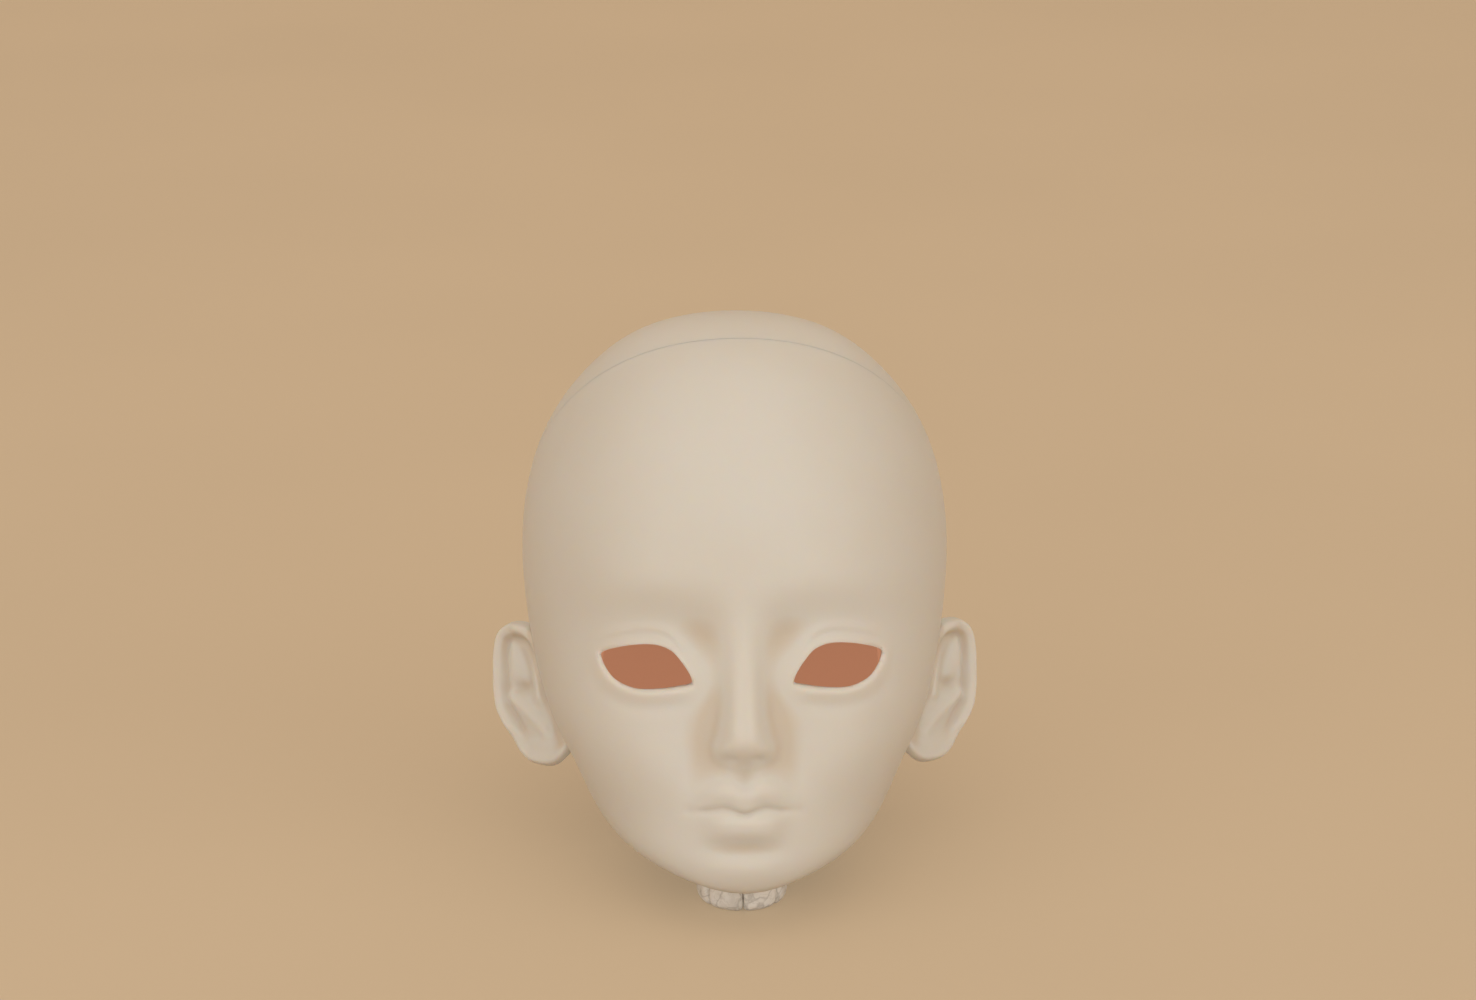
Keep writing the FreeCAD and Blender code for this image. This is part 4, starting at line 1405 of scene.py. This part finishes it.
@dataclass
class Head:
    """The hollow head of two castings that part on a slanted seam. Lengths are in mm."""

    form: HeadForm
    ear: EarForm
    place: HeadPlace
    resin: bpy.types.Material
    inner_resin_painted_shade_glow: bpy.types.Material
    inner_cap_resin_painted_shade: bpy.types.Material
    wall: float = 4.6
    seam_slope: float = math.radians(40.0)
    seam_front: float = 17.8
    seam_drop: float = 5.1
    seam_gap: float = 0.06
    seam_columns: int = 160
    seam_halvings: int = 30
    tongue_height: float = 1.2
    tongue_thickness: float = 1.5
    tongue_inset: float = 2.0
    tongue_clearance: float = 0.3
    magnet_count: int = 4
    magnet_radius: float = 3.0
    magnet_thickness: float = 3.0
    magnet_clearance: float = 0.1
    magnet_recess: float = 0.15
    magnet_inset: float = 7.4
    boss_wall: float = 1.6
    post_columns: int = 40
    neck_rim_radius: float = 13.5
    neck_opening_radius: float = 11.5
    neck_seat_depth: float = 6.0
    neck_seat_top_radius: float = 6.5
    neck_floor: float = 4.5
    neck_root_height: float = 12.0
    neck_root_spread: float = 3.0
    neck_rows: int = 12
    neck_columns: int = 160
    hook_hole_radius: float = 5.0
    hook_groove_width: float = 3.5
    hook_groove_depth: float = 2.0
    hook_groove_length: float = 24.0
    hole_columns: int = 96
    eye_well_radius: float = 7.6
    eye_well_toe: float = 0.6
    eye_well_rows: int = 40
    eye_well_columns: int = 72
    lid_thickness: float = 1.2
    overrun: float = 2.0
    core_rows: int = 60
    core_columns: int = 96
    core_crowding: float = 0.2
    core_last_station: float = 9.0
    slab_sides: int = 4
    slab_half: float = 120.0
    slab_height: float = 150.0

    @property
    def seam_normal(self) -> Points:
        """The direction that the cap lifts off in, in the head frame."""
        return np.array([0.0, math.sin(self.seam_slope), math.cos(self.seam_slope)])

    @property
    def seam_point(self) -> Points:
        """A point of the seam plane on the head's middle line, in the head frame."""
        return np.array([0.0, -self.seam_front, HEAD_STATIONS[0, 0] - self.seam_drop])

    @property
    def pocket_radius(self) -> float:
        """The radius of a magnet's pocket."""
        return self.magnet_radius + self.magnet_clearance

    @property
    def pocket_reach(self) -> float:
        """How far the pockets of a pair reach to each side of the seam."""
        return self.magnet_recess + self.magnet_thickness

    @property
    def neck_floor_top(self) -> float:
        """The height of the head's inner floor over the neck rim."""
        return self.neck_seat_depth + self.neck_floor

    def slab(self, name: str, middle: Points, along: Points,
             material: bpy.types.Material) -> bpy.types.Object:
        """A wide slab that stands on a plane.

        Args:
            name: The object's name.
            middle: A point of the plane, in part-frame millimetres.
            along: The direction square to the plane.
            material: The finish of the faces that it cuts.

        Returns:
            The object.
        """
        return closed_surface(name, revolved(rod(self.slab_half, 0.0, self.slab_height),
                                             self.slab_sides, middle, along) * MM, material)

    def over_seam(self, gap: float) -> bpy.types.Object:
        """All that lies over the seam plane moved up by a gap."""
        point = self.place.moved(self.seam_point + gap * self.seam_normal)
        return self.slab("over_seam", point, self.place.turned(self.seam_normal), self.resin)

    def seam_ring(self, inset: float, turn: Points) -> Points:
        """Points of a surface under the skin that lie on the seam plane, by halving.

        Args:
            inset: How far the surface lies under the skin.
            turn: Turns round from the face.

        Returns:
            Head-frame points, one to a turn.
        """
        low = np.zeros_like(turn)
        high = np.full_like(turn, self.core_last_station)
        for _ in range(self.seam_halvings):
            station = (low + high) / 2
            over = (self.form.inner(station, turn, inset) - self.seam_point) @ self.seam_normal
            low = np.where(over > 0, station, low)
            high = np.where(over > 0, high, station)
        return self.form.inner(low, turn, inset)

    def seam_band(self, name: str, inset: float, width: float, below: float,
                  above: float) -> bpy.types.Object:
        """A band along the seam, from below its plane to above it.

        Args:
            name: The object's name.
            inset: How far the band's outside lies under the skin.
            width: How wide the band is.
            below: How far it reaches under the seam plane.
            above: How far it reaches over it.

        Returns:
            The object.
        """
        turn = turns(self.seam_columns)
        outer, inner = self.seam_ring(inset, turn), self.seam_ring(inset + width, turn)
        up, down = above * self.seam_normal, -below * self.seam_normal
        grid = np.stack([outer + down, outer + up, inner + up, inner + down])
        return ring_surface(name, self.place.put(grid), self.resin)

    def posts(self, name: str, radius: float, reach: float) -> list[bpy.types.Object]:
        """A rod through the seam at each magnet's place.

        Args:
            name: The objects' name.
            radius: The rods' radius.
            reach: How far each reaches to both sides of the seam plane.

        Returns:
            The objects, one to a pair of magnets.
        """
        points = self.seam_ring(self.magnet_inset, turns(self.magnet_count))
        axis = self.place.turned(self.seam_normal)
        return [closed_surface(name, revolved(rod(radius, -reach, reach), self.post_columns,
                                              middle, axis) * MM, self.resin)
                for middle in self.place.moved(points)]

    def bosses(self, name: str, clearance: float = 0.0) -> list[bpy.types.Object]:
        """The magnets' bosses, with a clearance round them.

        Args:
            name: The objects' name.
            clearance: How much wider they are all round.

        Returns:
            The objects, one to a pair of magnets.
        """
        return self.posts(name, self.pocket_radius + self.boss_wall + clearance,
                          self.pocket_reach + self.boss_wall)

    def outside(self) -> bpy.types.Object:
        """The closed head with its ears and the root of the neck.

        Returns:
            The object, which becomes the face shell.
        """
        item = closed_surface("face_shell_resin", self.place.put(self.form.skin()), self.resin)
        for side in (-1, 1):
            ear = closed_surface("ear", self.place.put(self.ear.skin(side)), self.resin)
            work_in(item, ear, Joining.ADD)
        height = np.linspace(0, 1, self.neck_rows)
        radius = self.neck_rim_radius + self.neck_root_spread * height ** 2
        profile = np.concatenate([[(0.0, 0.0)],
                                  np.stack([radius, self.neck_root_height * height], 1),
                                  [(0.0, self.neck_root_height)]])
        root = closed_surface("neck_root", revolved(profile, self.neck_columns, np.zeros(3),
                                                    (0, 0, 1)) * MM, self.resin)
        work_in(item, root, Joining.ADD)
        return item

    def cavity(self) -> bpy.types.Object:
        """The hollow of the head: the bare head less the wall, over the neck's floor.

        Returns:
            The hollow as a solid, with the magnets' bosses left out of it.
        """
        station = self.form.station_rows(self.core_rows, self.core_last_station)
        turn = turns(self.core_columns, self.core_crowding)
        grid = self.form.inner(*np.meshgrid(station, turn, indexing="ij"), self.wall)
        low = np.zeros_like(grid[:1])
        low[..., 2] = grid[-1, :, 2].min() - self.wall
        core = closed_surface("cavity", self.place.put(np.concatenate([grid, low])),
                              self.inner_resin_painted_shade_glow)
        floor = np.array([0.0, 0.0, self.neck_floor_top])
        work_in(core, self.slab("over_floor", floor, np.array([0.0, 0.0, 1.0]),
                                self.inner_resin_painted_shade_glow), Joining.KEEP)
        for boss in self.bosses("boss"):
            work_in(core, boss, Joining.CUT)
        return core

    def open_eyes(self, item: bpy.types.Object) -> None:
        """Cuts the round wells and the almond openings between the lids.

        Args:
            item: The face shell.
        """
        back = self.form.eye_well_depth(self.eye_well_toe, self.eye_well_radius,
                                        self.lid_thickness)
        outline = self.form.eye.outline()
        axis = self.place.turned(np.array([0.0, -1.0, 0.0]))
        profile = ball(self.eye_well_radius, self.eye_well_rows)
        for side in (-1, 1):
            middle = self.place.moved(np.array([
                side * (self.form.eye.middle_x - self.eye_well_toe), back,
                self.form.eye.middle_z]))
            well = closed_surface("eye_well", revolved(profile, self.eye_well_columns, middle,
                                                       axis) * MM, self.inner_resin_painted_shade_glow)
            work_in(item, well, Joining.CUT)
            ring = np.stack([side * outline[:, 0], np.full(len(outline), back),
                             outline[:, 1]], 1)
            front = ring + (0.0, -2 * abs(back), 0.0)
            way = closed_surface("eye_opening", self.place.put(capped(np.stack([ring, front]))),
                                 self.resin)
            work_in(item, way, Joining.CUT)

    def open_neck(self, item: bpy.types.Object) -> None:
        """Cuts the seat of the neck's ball, the hole for the hook and the groove it lies in.

        Args:
            item: The face shell.
        """
        up = np.array([0.0, 0.0, 1.0])
        depth = self.neck_seat_depth
        seat = np.array([(0.0, -self.overrun), (self.neck_opening_radius, -self.overrun),
                         (self.neck_opening_radius, 0.0), (self.neck_seat_top_radius, depth),
                         (0.0, depth)])
        hole = rod(self.hook_hole_radius, 0.0, self.neck_root_height + self.neck_floor)
        for name, profile in (("neck_seat", seat), ("hook_hole", hole)):
            tool = closed_surface(name, revolved(profile, self.hole_columns, np.zeros(3), up) * MM,
                                  self.inner_resin_painted_shade_glow)
            work_in(item, tool, Joining.CUT)
        low = self.neck_floor_top - self.hook_groove_depth
        high = self.neck_floor_top + self.overrun
        section = np.array([(-1, low), (1, low), (1, high), (-1, high)])
        section[:, 0] *= self.hook_groove_width / 2
        half = self.hook_groove_length / 2
        ends = [np.insert(section, 0, x, axis=1) for x in (-half, half)]
        groove = closed_surface("hook_groove", capped(np.stack(ends)) * MM, self.inner_resin_painted_shade_glow)
        work_in(item, groove, Joining.CUT)

    def fit_seam(self, shell: bpy.types.Object, cap: bpy.types.Object) -> None:
        """Gives the shell a rebate, the cap a tongue, and both the magnets' pockets.

        Args:
            shell: The face shell.
            cap: The head cap.
        """
        rebate = self.seam_band("rebate", self.tongue_inset, 2 * self.wall,
                                self.tongue_height + self.tongue_clearance, self.overrun)
        for boss in self.bosses("boss"):
            work_in(rebate, boss, Joining.CUT)
        work_in(shell, rebate, Joining.CUT)
        tongue = self.seam_band("tongue", self.tongue_inset + self.tongue_clearance,
                                self.tongue_thickness, self.tongue_height,
                                self.tongue_clearance)
        for boss in self.bosses("keepout", self.tongue_clearance):
            work_in(tongue, boss, Joining.CUT)
        work_in(cap, tongue, Joining.ADD)
        for piece in (shell, cap):
            for pocket in self.posts("pocket", self.pocket_radius, self.pocket_reach):
                work_in(piece, pocket, Joining.CUT)

    def build(self) -> list[bpy.types.Object]:
        """The face shell and the head cap, dressed and riding on their bodies.

        Returns:
            Both pieces.
        """
        shell = self.outside()
        cavity = self.cavity()
        cap = copy_of(shell, "head_cap_resin")
        work_in(shell, copy_of(cavity, "cavity_twin"), Joining.CUT)
        self.open_eyes(shell)
        self.open_neck(shell)
        work_in(shell, self.over_seam(-self.seam_gap / 2), Joining.CUT)
        work_in(cap, self.over_seam(self.seam_gap / 2), Joining.KEEP)
        # The cap's inside takes the finish with the painted shade
        cavity.data.materials[0] = self.inner_cap_resin_painted_shade
        work_in(cap, cavity, Joining.CUT)
        self.fit_seam(shell, cap)
        for piece, body, node in ((shell, "head", "face_shell"), (cap, "cap", "head_cap")):
            smooth(piece)
            hollows(piece)
            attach(piece, body)
            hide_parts(node)
            log.info("%s: %d faces", piece.name, len(piece.data.polygons))
        return [shell, cap]


@dataclass
class BeadRing:
    """The chin rest: stone segments on an elastic cord. Lengths are in mm."""

    stone: bpy.types.Material
    count: int = 7
    radius: float = 6.9
    width: float = 3.9
    height: float = 4.8
    gap: float = 0.10
    end_round: float = 0.70
    squareness: float = 2.6
    bore_radius: float = 0.65
    bore_columns: int = 24
    rows: int = 40
    columns: int = 72
    pattern_step: float = 1.7

    @property
    def mean_radius(self) -> float:
        """The radius of the line through the middle of the segments."""
        return self.radius - self.width / 2

    def middle(self) -> Points:
        """The ring's middle on the table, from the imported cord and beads.

        Returns:
            The point, in part-frame millimetres.
        """
        low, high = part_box("bead_cord")
        front = min(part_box("bead_7")[0].y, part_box("bead_1")[0].y)
        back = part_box("bead_4")[1].y
        return np.array([(low.x + high.x) / 2, (front + back) / 2, 0.0]) / MM

    def bead(self, turn: float, middle: Points) -> Points:
        """A segment: a squared oval carried round an arc, drawn in at both ends.

        The oval is x = a sign(cos b) |cos b|^(2/n), z = c sign(sin b) |sin b|^(2/n), and a and c
        are less by r - sqrt(r^2 - (r - e)^2) at a distance e under r from an end.

        Args:
            turn: The turn of the segment's middle round the ring.
            middle: The ring's middle.

        Returns:
            The grid, in millimetres, with rows along the arc.
        """
        mean = self.mean_radius
        half = np.pi / self.count - self.gap / 2 / mean
        along = -np.cos(np.linspace(0, np.pi, self.rows)) * half
        inset = self.end_round - quarter_round((half - np.abs(along)) * mean, self.end_round)
        b = turns(self.columns)
        power = 2 / self.squareness
        out = np.sign(np.cos(b)) * np.abs(np.cos(b)) ** power
        up = np.sign(np.sin(b)) * np.abs(np.sin(b)) ** power
        across = (self.width / 2 - inset)[:, None] * out
        rise = (self.height / 2 - inset)[:, None] * up
        a = (turn + along)[:, None]
        return capped(np.stack([middle[0] + (mean + across) * np.cos(a),
                                middle[1] + (mean + across) * np.sin(a),
                                self.height / 2 + rise], -1))

    def bore(self, turn: float, middle: Points) -> Points:
        """The straight rod that bores a segment.

        Args:
            turn: The turn of the segment's middle round the ring.
            middle: The ring's middle.

        Returns:
            The grid, in millimetres.
        """
        centre = middle + np.array([self.mean_radius * np.cos(turn),
                                    self.mean_radius * np.sin(turn), self.height / 2])
        return revolved(rod(self.bore_radius, -self.width, self.width), self.bore_columns,
                        centre, np.array([-np.sin(turn), np.cos(turn), 0.0]))

    def build(self) -> list[bpy.types.Object]:
        """The segments with their bores, riding on the chin rest.

        Returns:
            The pieces, from the right of the front round to its left.
        """
        pieces = []
        middle = self.middle()
        for k in range(self.count):
            turn = (k + 0.5) * 2 * np.pi / self.count - np.pi / 2
            name = f"bead_{k + 1}"
            piece = closed_surface(f"{name}_stone", self.bead(turn, middle) * MM, self.stone)
            bore = closed_surface("bore", self.bore(turn, middle) * MM, self.stone)
            work_in(piece, bore, Joining.CUT)
            smooth(piece)
            write_values(piece.data, "stone", np.full(len(piece.data.vertices),
                                                      self.pattern_step * k))
            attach(piece, "chin_rest")
            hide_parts(name)
            log.info("%s: %d faces", piece.name, len(piece.data.polygons))
            pieces.append(piece)
        return pieces


def dress_kept_nodes() -> None:
    """Gives the magnets and the cord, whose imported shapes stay, their own finishes."""
    nickel, elastic = NICKEL.build(), ELASTIC.build()
    for name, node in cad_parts.items():
        material = nickel if "magnet" in name else elastic if name == "bead_cord" else None
        if material is not None:
            for slot in node.material_slots:
                slot.material = material
            log.info("%s: %s", name, material.name)


@dataclass(frozen=True)
class SoftBox:
    """A square lamp: where it hangs and its side in metres, its power in watts, its colour."""

    name: str
    place: tuple[float, float, float]
    side: float
    power: float
    colour: Colour

    def hang(self, aim: Vector) -> None:
        """Hangs the lamp, turned to a point.

        Args:
            aim: The point.
        """
        lamp = bpy.data.lights.new(self.name, "AREA")
        lamp.size = self.side
        lamp.energy = self.power
        lamp.color = self.colour
        item = in_scene(self.name, lamp)
        item.location = self.place
        item.rotation_euler = (aim - Vector(self.place)).to_track_quat("-Z", "Y").to_euler()


# A soft box over the front, one low before the face, one to each side and one behind
SOFT_BOXES = (
    SoftBox("key", (0.0, -0.55, 0.95), 2.4, 6.2, (0.89, 0.96, 1.0)),
    SoftBox("front", (0.0, -1.05, 0.14), 1.3, 3.6, (0.89, 0.96, 1.0)),
    SoftBox("side", (-0.85, -0.65, 0.22), 1.0, 3.2, (0.92, 0.97, 1.0)),
    SoftBox("side", (0.85, -0.65, 0.22), 1.0, 3.2, (0.92, 0.97, 1.0)),
    SoftBox("back", (0.0, 0.75, 0.80), 1.2, 1.6, (1.0, 0.95, 0.88)),
)


@dataclass
class Studio:
    """The sweep, the lamps and the camera. Lengths are in metres but for the camera's target."""

    distance: float = 0.650
    elevation: float = math.radians(17.0)
    azimuth: float = math.radians(-1.7)
    target_height: float = 58.7
    target_side: float = 0.43
    picture_width: int = 1476
    pixel_size: float = 0.1564 * MM
    sensor: float = 36.0
    lamp_aim: tuple[float, float, float] = (0.0, 0.0, 0.04)
    room_colour: Colour = (0.50, 0.35, 0.21)
    room_strength: float = 1.0
    half_width: float = 3.0
    front: float = -3.0
    bend: float = 1.0
    bend_radius: float = 0.5
    bend_rows: int = 24
    rise: float = 1.2

    def sweep(self) -> bpy.types.Object:
        """The floor and backdrop as one strip: flat, a quarter circle, then upright.

        Returns:
            The object, which is part of the stage.
        """
        a = np.linspace(0, np.pi / 2, self.bend_rows)
        arc = np.stack([self.bend + self.bend_radius * np.sin(a),
                        self.bend_radius * (1 - np.cos(a))], 1)
        line = np.concatenate([[(self.front, 0.0)], arc,
                               [(self.bend + self.bend_radius, self.bend_radius + self.rise)]])
        x = np.array([-self.half_width, self.half_width])
        grid = np.stack([np.repeat(x[None], len(line), 0), np.repeat(line[:, :1], 2, 1),
                         np.repeat(line[:, 1:], 2, 1)], -1)
        k = 2 * np.arange(len(line) - 1)
        quads = np.stack([k, k + 1, k + 3, k + 2], 1)
        item = make_mesh("sweep", grid.reshape(-1, 3), [quads], PAPER.build())
        item.data.shade_smooth()
        return item

    def light(self) -> None:
        """Hangs the lamps and fills the room with warm light."""
        for lamp in SOFT_BOXES:
            lamp.hang(Vector(self.lamp_aim))
        world = bpy.data.worlds.new("room")
        bpy.context.scene.world = world
        world.use_nodes = True
        background = world.node_tree.nodes["Background"]
        background.inputs["Color"].default_value = opaque(self.room_colour)
        background.inputs["Strength"].default_value = self.room_strength

    def camera(self, place: HeadPlace) -> None:
        """Sets up the camera square to the face, as far off as the picture's perspective says.

        Args:
            place: The place of the head frame.
        """
        target = place.put(np.array([self.target_side, 0.0, self.target_height]))
        level = math.cos(self.elevation) * self.distance
        spot = target + np.array([math.sin(self.azimuth) * level, -math.cos(self.azimuth) * level,
                                  math.sin(self.elevation) * self.distance])
        lens = bpy.data.cameras.new("camera")
        lens.sensor_width = self.sensor
        lens.lens = self.sensor * self.distance / (self.picture_width * self.pixel_size)
        item = in_scene("camera", lens)
        item.location = spot
        item.rotation_euler = Vector(target - spot).to_track_quat("-Z", "Y").to_euler()
        bpy.context.scene.camera = item

    def build(self, place: HeadPlace) -> None:
        """Sets up the sweep, the lamps, the camera and the plain view.

        Args:
            place: The place of the head frame.
        """
        self.sweep()
        self.light()
        self.camera(place)
        bpy.context.scene.view_settings.view_transform = "Standard"


def main() -> None:
    """Builds the studio, the head, the bead ring and the kept nodes' finishes."""
    form = HeadForm()
    place = head_place(form)
    log.info("head frame at %s mm", np.round(place.origin, 3).tolist())
    Studio().build(place)
    finishes = [finish.build() for finish in (RESIN, INNER_RESIN_PAINTED_SHADE_GLOW, INNER_CAP_RESIN_PAINTED_SHADE)]
    Head(form, EarForm(), place, *finishes).build()
    BeadRing(STONE.build()).build()
    dress_kept_nodes()


if __name__ == "__main__":
    main()
